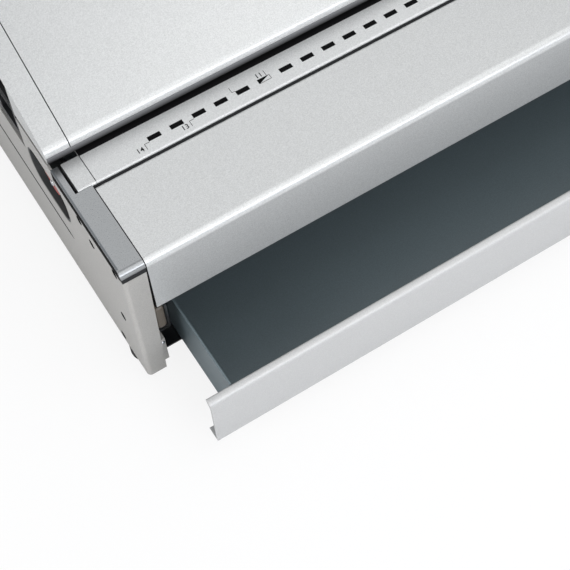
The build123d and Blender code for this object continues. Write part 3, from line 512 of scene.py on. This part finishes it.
def lathe(profile, turn=Matrix.Identity(4), steps=32):
    # a turned form: pairs of radius and height along its own axis
    form = bmesh.new()
    angles = [math.tau * i / steps for i in range(steps)]
    rings = []
    for radius, height in profile:
        if radius == 0:
            rings.append([form.verts.new(turn @ Vector((0, 0, height)))])
        else:
            ring = [Vector((radius * math.cos(angle), radius * math.sin(angle), height)) for angle in angles]
            rings.append([form.verts.new(turn @ point) for point in ring])
    for low, high in zip(rings, rings[1:]):
        for i in range(steps):
            j = (i + 1) % steps
            if len(low) == 1:
                corners = [low[0], high[j], high[i]]
            elif len(high) == 1:
                corners = [low[i], low[j], high[0]]
            else:
                corners = [low[i], low[j], high[j], high[i]]
            form.faces.new(corners).smooth = True
    return meshFrom(form)


def joined(meshes):
    form = bmesh.new()
    for mesh in meshes:
        form.from_mesh(mesh)
    whole = bpy.data.meshes.new("joined")
    form.to_mesh(whole)
    form.free()
    return whole


def about(middle, half):
    # reach to both sides of a middle
    return (middle - half, middle + half)


def oblong(x0, x1, y0, y1):
    return [(x0, y0), (x1, y0), (x1, y1), (x0, y1)]


def arrow(back, tip, half, y=0.0):
    return [(back, y - half), (tip, y), (back, y + half)]


def sector(inner, outer, start, end):
    # one block of a ring, between two angles
    corners = [(inner, start), (outer, start), (outer, end), (inner, end)]
    return [(radius * math.cos(angle), radius * math.sin(angle)) for radius, angle in corners]


def arc(centre, radius, start, end, steps=6):
    # points along an arc, from one angle to another
    angles = [start + (end - start) * i / steps for i in range(steps + 1)]
    return [(centre[0] + radius * math.cos(angle), centre[1] + radius * math.sin(angle)) for angle in angles]


def lettering(words, size, thickness, heavy=0.0):
    # a line of figures as a mesh, from its own left end
    curve = bpy.data.curves.new("lettering", "FONT")
    curve.body = words
    curve.size = size
    curve.extrude = thickness / 2
    curve.offset = heavy
    curve.resolution_u = 3
    holder = bpy.data.objects.new("lettering", curve)
    bpy.context.scene.collection.objects.link(holder)
    bpy.context.view_layer.update()
    mesh = bpy.data.meshes.new_from_object(holder.evaluated_get(bpy.context.evaluated_depsgraph_get()))
    bpy.data.objects.remove(holder)
    return mesh


def axesAt(origin, across, up):
    # a place with its own axes: across, up, and out of the face
    across = Vector(across).normalized()
    up = Vector(up).normalized()
    turn = Matrix((across, up, across.cross(up))).transposed().to_4x4()
    return Matrix.Translation(origin) @ turn


def islands(name):
    # the boxes of the separate bodies in one node
    form = bmesh.new()
    form.from_mesh(nodes[name].data)
    bmesh.ops.remove_doubles(form, verts=form.verts, dist=1e-5)
    seen = set()
    boxes = []
    for start in form.verts:
        if start in seen:
            continue
        group = [start]
        seen.add(start)
        for vert in group:
            for edge in vert.link_edges:
                other = edge.other_vert(vert)
                if other not in seen:
                    seen.add(other)
                    group.append(other)
        low = Vector([min(vert.co[i] for vert in group) for i in range(3)])
        high = Vector([max(vert.co[i] for vert in group) for i in range(3)])
        boxes.append((low, high))
    form.free()
    return boxes


# places taken from the nodes

sides = (-1, 1)
tableLow, tableHigh = boxOf("paper_table")
coverLow, coverHigh = boxOf("front_cover")
noseLow, noseHigh = boxOf("upper_cover")
lipLow, lipHigh = boxOf("upper_throat_plate")
stripLow, stripHigh = boxOf("left_deck_strip")
dieFront = boxOf("die_block")[0].y
halfWidth = -boxOf("left_side_panel")[0].x
frontY = boxOf("left_side_panel")[0].y


def slopeNormal():
    # outward direction of the slope, from the control panel's largest facet
    facets = nodes["control_panel"].data.polygons
    normal = Vector(max(facets, key=lambda facet: facet.area).normal)
    return normal if normal.z > 0 else -normal


slopeOut = slopeNormal()
slopeTilt = math.atan2(-slopeOut.y, slopeOut.z)
slopeUp = Vector((0, math.cos(slopeTilt), math.sin(slopeTilt)))
print("places found, slope at", round(math.degrees(slopeTilt), 2), "degrees")

# printed comb scale on the paper table


def makeScale():
    values = dict(
        firstX=-201.1 * mm,
        pitch=14.2875 * mm,
        count=25,
        mark=(8.1 * mm, 3.25 * mm),
        rowBack=9.5 * mm,  # from the table's front edge to the middle of the row
        framed=5,  # the mark that is printed as a triangle in a frame
        line=0.30 * mm,
        film=0.04 * mm,
        tick=3.9 * mm,
        figure=4.7 * mm,
        heavy=0.04 * mm,
        figureBack=6.2 * mm,
        figureLift=0.6 * mm,
    )
    # figure, the mark that it belongs to, side of the row, and its tick's place from the mark's left end
    leaders = [
        ("14", 0, -1, -3.2 * mm),
        ("13", 2, -1, -3.2 * mm),
        ("", 4, 1, -1.8 * mm),
        ("11", 5, 1, 6.5 * mm),
    ]
    row = tableLow.y + values["rowBack"]
    top = tableHigh.z
    length, width = values["mark"]
    line = values["line"]
    y0, y1 = about(row, width / 2)
    shapes = []
    for i in range(values["count"]):
        x0, x1 = about(values["firstX"] + values["pitch"] * i, length / 2)
        if i == values["framed"]:
            shapes.append([(x0, y0), (x1, y1), (x0, y1)])
            shapes.append(oblong(x0, x1, y0, y0 + line))
            shapes.append(oblong(x1 - line, x1, y0, y1))
        else:
            shapes.append(oblong(x0, x1, y0, y1))
    words = []
    for figure, index, side, shift in leaders:
        markX = values["firstX"] + values["pitch"] * index - length / 2
        x = markX + shift
        start = row + side * (width / 2 + line)
        low, high = sorted((start, start + side * values["tick"]))
        shapes.append(oblong(*about(x, line / 2), low, high))
        if shift < 0:
            shapes.append(oblong(x, markX, *about(start, line / 2)))
        if figure:
            mesh = lettering(figure, values["figure"], values["film"], values["heavy"])
            base = low if side < 0 else low + values["figureLift"]
            mesh.transform(Matrix.Translation((x - values["figureBack"], base, top + values["film"] / 2)))
            words.append(mesh)
    addPiece("combMarks", plates(shapes, top, top + values["film"]), "machine", "ink")
    addPiece("scaleFigures", joined(words), "machine", "ink")


makeScale()
print("comb scale printed")

# black film in the throat; painted shade under the nose, in the grooves and seams, at the slits and strip
# edges


def sidePlates(outline, x, thick):
    # the same upright plate on both sides, from an outline in depth and height
    turns = [axesAt((side * x, 0, 0), (0, 1, 0), (0, 0, 1)) for side in sides]
    return joined([plates([outline], -thick / 2, thick / 2, turn) for turn in turns])


def makeThroat():
    values = dict(
        bedFront=1.3 * mm,
        dieGap=0.6 * mm,
        film=0.06 * mm,
        bandThick=0.25 * mm,
        bandDeep=0.6 * mm,
        bandInset=0.3 * mm,
        bandRise=2.3 * mm,
        bandEdge=0.1 * mm,
        joint=0.3 * mm,
        jointFront=1.0 * mm,
    )
    top = tableHigh.z
    bedY = noseLow.y - values["bedFront"]
    bed = oblong(tableLow.x, tableHigh.x, bedY, dieFront - values["dieGap"])
    addPiece("throatFilm", plates([bed], top, top + values["film"]), "machine", "throatBlack")
    # painted shade: a band over the lip and the nose's lower face, darker towards its foot
    shadeBand = softBox(
        about(0, halfWidth - values["bandInset"]),
        (noseLow.y - values["bandThick"], noseLow.y + values["bandDeep"]),
        (lipLow.z + values["bandInset"], lipHigh.z + values["bandRise"]),
        values["bandEdge"],
    )
    addPiece("noseShadeBand", shadeBand, "machine", "noseShadeFade")
    # painted shade: dark films on the table along its joints with the two end blocks
    joints = []
    for side in sides:
        x0, x1 = sorted((side * (tableHigh.x - values["joint"]), side * tableHigh.x))
        joints.append(oblong(x0, x1, tableLow.y + values["jointFront"], bedY))
    addPiece("blockJointShades", plates(joints, top, top + values["film"]), "machine", "seamShade")


def makeGrooveShade():
    # painted shade: a dark foam strip down in the groove between the front cover and the paper table,
    # standing in for the groove's shade
    values = dict(shy=1.1 * mm, deep=6 * mm, gap=0.1 * mm, edge=0.2 * mm)
    deck = coverHigh.z
    grooveFill = softBox(
        (coverLow.x, coverHigh.x),
        (coverHigh.y + values["gap"], tableLow.y - values["gap"]),
        (deck - values["deep"], deck - values["shy"]),
        values["edge"],
    )
    addPiece("grooveShade", grooveFill, "machine", "sealFoamAndShade")


def makeDeckGapShades():
    # painted shade: dark upright plates in the gaps beside the front cover, following its bend
    values = dict(seam=0.58 * mm, gap=0.02 * mm, shy=0.06 * mm, bend=5.0 * mm, foot=1 * mm)
    shy = values["shy"]
    deck, foot = coverHigh.z, coverLow.z + values["foot"]
    centre = (frontY + values["bend"], deck - values["bend"])
    outline = [(frontY + shy, foot)]
    outline += arc(centre, values["bend"] - shy, math.pi, math.pi / 2)
    outline += [(coverHigh.y, deck - shy), (coverHigh.y, foot)]
    x = coverHigh.x + values["seam"] / 2 + values["gap"]
    addPiece("deckGapShades", sidePlates(outline, x, values["seam"]), "machine", "seamShade")


def makeCapGapShades():
    # painted shade: dark plates in the gap between the upper cover and each end cap, just under their faces
    values = dict(
        seam=0.58 * mm,
        gap=0.02 * mm,
        shy=0.1 * mm,
        deep=2.4 * mm,
        nose=6.3 * mm,
        noseRise=1.8 * mm,
        ridgeDrop=0.6 * mm,
    )
    shy, deep = values["shy"], values["deep"]
    centre = (noseLow.y + values["nose"], noseLow.z + values["noseRise"])
    nose = arc(centre, values["nose"] - shy, math.pi, math.pi / 2 + slopeTilt)
    startY, startZ = nose[-1]
    ridgeZ = noseHigh.z - shy - values["ridgeDrop"]
    ridgeY = startY + (ridgeZ - startZ) / math.tan(slopeTilt)
    outer = [(noseLow.y + shy, noseLow.z)] + nose + [(ridgeY, ridgeZ)]
    inner = [(ridgeY, ridgeZ - deep), (startY + deep, startZ - deep), (noseLow.y + deep, noseLow.z)]
    x = noseHigh.x + values["seam"] / 2 + values["gap"]
    addPiece("capGapShades", sidePlates(outer + inner, x, values["seam"]), "machine", "seamShade")


def makeStripSideShades():
    # painted shade: a dark film along the side of each deck strip and just below it
    values = dict(film=0.06 * mm, below=4.0 * mm, above=3.6 * mm, start=3.2 * mm, gap=0.2 * mm)
    outline = oblong(
        frontY + values["start"],
        stripHigh.y - values["gap"],
        stripLow.z - values["below"],
        stripLow.z + values["above"],
    )
    sideShades = sidePlates(outline, halfWidth + values["film"] / 2, values["film"])
    addPiece("stripSideShades", sideShades, "machine", "seamShade")


def makeSlitShades():
    # painted shade of the long slit in each side panel: a dark film wider than the slit, tapered at its ends
    values = dict(
        ends=(76.5 * mm, 230.0 * mm),  # back from the panel's front edge
        taper=6.0 * mm,
        mouth=(61.3 * mm, 64.0 * mm),
        tip=(62.3 * mm, 63.0 * mm),
        film=0.06 * mm,
    )
    start, end = [frontY + reach for reach in values["ends"]]
    near, far = start + values["taper"], end - values["taper"]
    low, high = values["mouth"]
    tipLow, tipHigh = values["tip"]
    outline = [(start, tipLow), (near, low), (far, low), (end, tipLow)]
    outline += [(end, tipHigh), (far, high), (near, high), (start, tipHigh)]
    slitFilms = sidePlates(outline, halfWidth + values["film"] / 2, values["film"])
    addPiece("slitShades", slitFilms, "machine", "seamShade")


def makeStripEdgeShades():
    # painted shade: a grey film along the outer edge on top of each deck strip
    values = dict(film=0.06 * mm, inset=(0.05 * mm, 1.15 * mm), bend=4.2 * mm, gap=0.2 * mm)
    edges = []
    for side in sides:
        x0, x1 = sorted(side * (halfWidth - inset) for inset in values["inset"])
        edges.append(oblong(x0, x1, frontY + values["bend"], stripHigh.y - values["gap"]))
    top = stripHigh.z
    addPiece("stripEdgeShades", plates(edges, top, top + values["film"]), "machine", "edgeShade")


makeThroat()
makeGrooveShade()
makeDeckGapShades()
makeCapGapShades()
makeStripSideShades()
makeSlitShades()
makeStripEdgeShades()
print("throat, grooves and seams lined")

# screws, catches and other small hardware


def crossOn(turn, size, film=0.12 * mm):
    # painted shade: a dark film where a screw head's cross recess is
    long, wide = size / 2, size / 8
    return plates([oblong(-long, long, -wide, wide), oblong(-wide, wide, -long, long)], 0, film, turn)


def panHead(turn, radius, steps=24):
    # place and height of each ring, as shares of the head's radius
    shares = [(0, 0.5), (0.55, 0.46), (0.9, 0.25), (1, 0), (0, 0)]
    return lathe([(radius * out, radius * height) for out, height in shares], turn, steps)


def makeScrewSet(label, places, across, up, values):
    # pan heads with dark films for their cross recesses as painted shade, all facing one way
    turns = [axesAt(place, across, up) for place in places]
    lift = Matrix.Translation((0, 0, values["lift"]))
    heads = [panHead(turn, values["radius"]) for turn in turns]
    crosses = [crossOn(turn @ lift, values["cross"]) for turn in turns]
    addPiece(label + "s", joined(heads), "machine", "platedScrew")
    addPiece(label + "Crosses", joined(crosses), "machine", "seamShade")


def makePanelCrosses():
    # painted shade: dark films for the cross recesses, and a dark sleeve for the shade in the hole round each
    # sunk head
    values = dict(
        cross=3.6 * mm,
        inner=2.45 * mm,
        wall=2.96 * mm,
        outer=3.03 * mm,
        film=0.1 * mm,
        deep=0.97 * mm,
        steps=24,
    )
    inner, wall, outer = values["inner"], values["wall"], values["outer"]
    film, deep = values["film"], values["deep"]
    profile = [(inner, 0), (outer, 0), (outer, deep), (wall, deep), (wall, film), (inner, film), (inner, 0)]
    crosses, rims = [], []
    for low, high in islands("panel_screws"):
        middle = (low + high) / 2
        side = 1 if middle.x > 0 else -1
        face = high.x if side > 0 else low.x
        turn = axesAt((face, middle.y, middle.z), (0, side, 0), (0, 0, 1))
        crosses.append(crossOn(turn, values["cross"]))
        rims.append(lathe(profile, turn, values["steps"]))
    addPiece("panelScrewCrosses", joined(crosses), "machine", "seamShade")
    addPiece("panelScrewHoleShades", joined(rims), "machine", "seamShade")


def makeRearScrews():
    values = dict(radius=2.8 * mm, cross=2.6 * mm, lift=1.35 * mm, inset=9 * mm, heights=(22 * mm, 186 * mm))
    rear = boxOf("rear_panel")[1].y
    columns = (-halfWidth + values["inset"], 0, halfWidth - values["inset"])
    places = [(x, rear, z) for x in columns for z in values["heights"]]
    makeScrewSet("rearScrew", places, (-1, 0, 0), (0, 0, 1), values)


def makeBaseScrews():
    values = dict(radius=3.0 * mm, cross=2.8 * mm, lift=1.45 * mm, inset=34 * mm)
    low, high = boxOf("base_plate")
    columns = (low.x + values["inset"], 0, high.x - values["inset"])
    rows = (low.y + values["inset"], (low.y + high.y) / 2, high.y - values["inset"])
    places = [(x, y, low.z) for x in columns for y in rows]
    makeScrewSet("baseScrew", places, (1, 0, 0), (0, -1, 0), values)


def makeCatches():
    # drawer catches behind the columns, and the screw in each column's tab
    catch = dict(
        x=(240.2 * mm, 246.7 * mm),
        y=(2.0 * mm, 11.8 * mm),
        z=(51.0 * mm, 73.0 * mm),
        edge=2.4 * mm,
    )
    screw = dict(x=246.2 * mm, y=2.0 * mm, z=36.0 * mm, radius=1.7 * mm)
    blocks, heads = [], []
    for side in sides:
        reachX = sorted(side * x for x in catch["x"])
        reachY = [frontY + y for y in catch["y"]]
        blocks.append(softBox(reachX, reachY, catch["z"], catch["edge"]))
        place = (side * screw["x"], frontY + screw["y"], screw["z"])
        heads.append(panHead(axesAt(place, (1, 0, 0), (0, 0, 1)), screw["radius"]))
    addPiece("drawerCatches", joined(blocks), "machine", "catchNylon")
    addPiece("tabScrews", joined(heads), "machine", "platedScrew")


makePanelCrosses()
makeRearScrews()
makeBaseScrews()
makeCatches()
print("screws and catches set")

# controls on the slope


def heightOn(name):
    # how far a node reaches out along the slope's own direction
    return max(slopeOut.dot(vert.co) for vert in nodes[name].data.vertices)


def reachUp(name):
    # a node's lower and upper end, measured up the slope
    heights = [slopeUp.dot(vert.co) for vert in nodes[name].data.vertices]
    return min(heights), max(heights)


def spotOn(name, height):
    # a place on the slope in line with the middle of a control
    low, high = boxOf(name)
    middle = slopeUp * sum(reachUp(name)) / 2 + slopeOut * height
    middle.x = (low.x + high.x) / 2
    return axesAt(middle, (1, 0, 0), slopeUp)


def capOf(name):
    # the middle of a control's own top
    return spotOn(name, heightOn(name))


def panelAt(name):
    # the control panel's face, below the middle of a control
    return spotOn(name, heightOn("control_panel"))


def makeDialMarks(name, label, figures, start, step):
    # ticks and figures round a knob, clockwise from a start angle in degrees
    values = dict(
        film=0.05 * mm,
        ring=12.0 * mm,
        line=0.35 * mm,
        tick=1.4 * mm,
        figure=2.6 * mm,
        out=15.2 * mm,
        corner=(0.28, 0.34),  # from a figure's corner to its middle, as a share of its size
    )
    ring, film, figure = values["ring"], values["film"], values["figure"]
    spread = values["line"] / ring
    turn = panelAt(name)
    marks, words = [], []
    for i, sign in enumerate(figures):
        angle = math.radians(start - step * i)
        marks.append(sector(ring, ring + values["tick"], angle - spread, angle + spread))
        x = values["out"] * math.cos(angle) - values["corner"][0] * figure
        y = values["out"] * math.sin(angle) - values["corner"][1] * figure
        mesh = lettering(sign, figure, film)
        mesh.transform(turn @ Matrix.Translation((x, y, film / 2)))
        words.append(mesh)
    addPiece(label + "Ticks", plates(marks, 0, film, turn), "machine", "paleInk")
    addPiece(label + "Figures", joined(words), "machine", "paleInk")


def makeKnobTrim(name, label, body):
    # pointer in the knob's groove, and ribs round its grip
    pointer = dict(
        x=(-0.5 * mm, 0.5 * mm),
        y=(1.0 * mm, 8.6 * mm),
        z=(-0.7 * mm, -0.15 * mm),
        edge=0.1 * mm,
    )
    rib = dict(
        count=24,
        x=(8.8 * mm, 9.5 * mm),
        y=(-0.45 * mm, 0.45 * mm),
        z=(-8.4 * mm, -1.3 * mm),
        edge=0.2 * mm,
    )
    cap = capOf(name)
    mesh = softBox(pointer["x"], pointer["y"], pointer["z"], pointer["edge"], cap)
    addPiece(label + "Pointer", mesh, body, "paleInk")
    ribs = []
    for i in range(rib["count"]):
        turn = cap @ Matrix.Rotation(math.tau * (i + 0.5) / rib["count"], 4, "Z")
        ribs.append(softBox(rib["x"], rib["y"], rib["z"], rib["edge"], turn))
    addPiece(label + "Ribs", joined(ribs), body, "blackMoulding")


def makeBezel(name, label, radius):
    # raised ring round a button
    values = dict(gap=0.45 * mm, wide=1.8 * mm, height=1.1 * mm, lip=0.4 * mm, steps=40)
    inner = radius + values["gap"]
    outer = inner + values["wide"]
    height, lip = values["height"], values["lip"]
    profile = [(inner, 0), (inner, height - lip), (inner + lip, height)]
    profile += [(outer - lip, height), (outer, height - lip), (outer, 0), (inner, 0)]
    ring = lathe(profile, panelAt(name), values["steps"])
    addPiece(label + "Bezel", ring, "machine", "platedScrew")


def makeButtonIcons():
    # one triangle to start, two to run back
    values = dict(film=0.06 * mm)
    start = dict(back=-2.6 * mm, tip=3.6 * mm, half=3.4 * mm)
    reverse = dict(back=2.2 * mm, tip=-0.6 * mm, half=2.2 * mm, shifts=(-2.4 * mm, 0.6 * mm))
    forward = [arrow(start["back"], start["tip"], start["half"])]
    icon = plates(forward, 0, values["film"], capOf("punch_button"))
    addPiece("startIcon", icon, "start_button", "paleInk")
    pair = []
    for shift in reverse["shifts"]:
        pair.append(arrow(reverse["back"] + shift, reverse["tip"] + shift, reverse["half"]))
    icon = plates(pair, 0, values["film"], capOf("reverse_button"))
    addPiece("reverseIcon", icon, "back_button", "paleInk")


def makePanelFrame():
    # a thin printed frame round the whole panel
    values = dict(film=0.06 * mm, inset=2.4 * mm, line=0.4 * mm)
    low, high = boxOf("control_panel")
    bottom, top = reachUp("control_panel")
    x = (high.x - low.x) / 2 - values["inset"]
    y = (top - bottom) / 2 - values["inset"]
    line = values["line"]
    bars = [oblong(-x, x, y - line, y), oblong(-x, x, -y, -y + line)]
    bars += [oblong(-x, -x + line, -y, y), oblong(x - line, x, -y, y)]
    frameMesh = plates(bars, 0, values["film"], panelAt("control_panel"))
    addPiece("panelFrame", frameMesh, "machine", "paleInk")


makeDialMarks("margin_knob", "margin", "123456789", start=225, step=33.75)
makeKnobTrim("margin_knob", "margin", "margin_dial")
makeDialMarks("mode_knob", "mode", "123", start=150, step=60)
makeKnobTrim("mode_knob", "mode", "mode_dial")
makeBezel("punch_button", "punch", radius=12 * mm)
makeBezel("reverse_button", "reverse", radius=8 * mm)
makeButtonIcons()
makePanelFrame()
print("controls marked")

# paper guide, die handle, release lever


def makeGuideRibs():
    values = dict(
        count=5,
        start=4.0 * mm,
        pitch=2.4 * mm,
        wide=1.0 * mm,
        inset=2 * mm,
        sunk=0.3 * mm,
        rise=0.5 * mm,
        edge=0.25 * mm,
    )
    low, high = boxOf("edge_guide")
    reachX = (low.x + values["inset"], high.x - values["inset"])
    reachZ = (high.z - values["sunk"], high.z + values["rise"])
    ribs = []
    for i in range(values["count"]):
        y = low.y + values["start"] + values["pitch"] * i
        ribs.append(softBox(reachX, (y, y + values["wide"]), reachZ, values["edge"]))
    addPiece("guideRibs", joined(ribs), "side_guide", "blackMoulding")


def makeGuidePointer():
    values = dict(back=0.6 * mm, tip=3.0 * mm, half=1.2 * mm, start=2.2 * mm, sunk=0.02 * mm, rise=0.05 * mm)
    low, high = boxOf("edge_guide")
    outline = arrow(low.x + values["back"], low.x + values["tip"], values["half"], low.y + values["start"])
    pointer = plates([outline], high.z - values["sunk"], high.z + values["rise"])
    addPiece("guidePointer", pointer, "side_guide", "paleInk")


def makeHandleRibs():
    values = dict(
        count=4,
        start=2.2 * mm,
        pitch=1.7 * mm,
        half=0.4 * mm,
        inset=4 * mm,
        rise=0.4 * mm,
        sunk=0.6 * mm,
        edge=0.2 * mm,
    )
    low, high = boxOf("die_handle")
    reachX = (low.x - values["rise"], low.x + values["sunk"])
    reachY = (low.y + values["inset"], high.y - values["inset"])
    ribs = []
    for i in range(values["count"]):
        z = high.z - values["start"] - values["pitch"] * i
        ribs.append(softBox(reachX, reachY, about(z, values["half"]), values["edge"]))
    addPiece("handleRibs", joined(ribs), "die_set", "blackMoulding")


def makeLeverMarks():
    # a stroke on the lever's arm and a screw in its hub
    values = dict(hub=8.0 * mm, stroke=(-10.4 * mm, -2.0 * mm), half=0.5 * mm, lift=0.02 * mm, film=0.05 * mm)
    screwRadius = 2.4 * mm
    low, high = boxOf("die_release")
    turn = axesAt((low.x, low.y + values["hub"], (low.z + high.z) / 2), (0, -1, 0), (0, 0, 1))
    stroke = [oblong(*values["stroke"], *about(0, values["half"]))]
    mark = plates(stroke, values["lift"], values["lift"] + values["film"], turn)
    addPiece("leverMark", mark, "release_lever", "paleInk")
    addPiece("leverScrew", panHead(turn, screwRadius), "release_lever", "platedScrew")


makeGuideRibs()
makeGuidePointer()
makeHandleRibs()
makeLeverMarks()
print("guide, handle and lever finished")

# fittings at the back


def makeInletBlades():
    blade = dict(
        pitch=7.0 * mm,
        halfX=1.06 * mm,
        halfZ=2.06 * mm,
        start=18.6 * mm,
        end=5.92 * mm,
        edge=0.3 * mm,
    )
    screw = dict(out=19.5 * mm, radius=2.4 * mm)
    low, high = boxOf("power_inlet")
    middleX, middleZ = (low.x + high.x) / 2, (low.z + high.z) / 2
    reachY = (high.y - blade["start"], high.y - blade["end"])
    blades = []
    for step in (-1, 0, 1):
        reachX = about(middleX + step * blade["pitch"], blade["halfX"])
        blades.append(softBox(reachX, reachY, about(middleZ, blade["halfZ"]), blade["edge"]))
    addPiece("inletBlades", joined(blades), "machine", "brassBlade")
    heads = []
    for x in about(middleX, screw["out"]):
        heads.append(panHead(axesAt((x, high.y, middleZ), (-1, 0, 0), (0, 0, 1)), screw["radius"]))
    addPiece("inletScrews", joined(heads), "machine", "platedScrew")


def makeJackNut():
    # six-sided nut round the pedal socket
    values = dict(inner=3.4 * mm, outer=5.8 * mm, height=1.0 * mm, chamfer=0.5 * mm, sunk=0.1 * mm, flats=6)
    low, high = boxOf("pedal_socket")
    turn = axesAt(((low.x + high.x) / 2, high.y, (low.z + high.z) / 2), (-1, 0, 0), (0, 0, 1))
    inner, outer, height = values["inner"], values["outer"], values["height"]
    chamfer, foot = values["chamfer"], -values["sunk"]
    profile = [(inner, foot), (inner, height), (outer - chamfer, height), (outer, height - chamfer)]
    profile += [(outer, foot), (inner, foot)]
    addPiece("jackNut", lathe(profile, turn, values["flats"]), "machine", "platedScrew")


def makeRockerMarks():
    # a stroke and a ring, the plain marks for on and off
    values = dict(
        film=0.06 * mm,
        stroke=(0.35 * mm, 1.8 * mm),
        ring=(1.3 * mm, 1.9 * mm),
        steps=16,
        facing=0.9,
    )
    low, high = boxOf("power_rocker")
    middleZ = (low.z + high.z) / 2
    facets = [facet for facet in nodes["power_rocker"].data.polygons if facet.normal.y > values["facing"]]
    angles = [math.tau * i / values["steps"] for i in range(values["steps"] + 1)]
    halfX, halfZ = values["stroke"]
    stroke = [oblong(-halfX, halfX, -halfZ, halfZ)]
    ring = [sector(*values["ring"], start, end) for start, end in zip(angles, angles[1:])]
    marks = []
    for sign in sides:
        half = [facet for facet in facets if (facet.center.z - middleZ) * sign > 0]
        area = sum(facet.area for facet in half)
        middle = sum((facet.center * facet.area for facet in half), Vector()) / area
        outward = sum((facet.normal * facet.area for facet in half), Vector()).normalized()
        turn = axesAt(middle, (-1, 0, 0), outward.cross(Vector((-1, 0, 0))))
        marks.append(plates(stroke if sign > 0 else ring, 0, values["film"], turn))
    addPiece("rockerMarks", joined(marks), "mains_rocker", "paleInk")


makeInletBlades()
makeJackNut()
makeRockerMarks()
print("rear fittings finished")
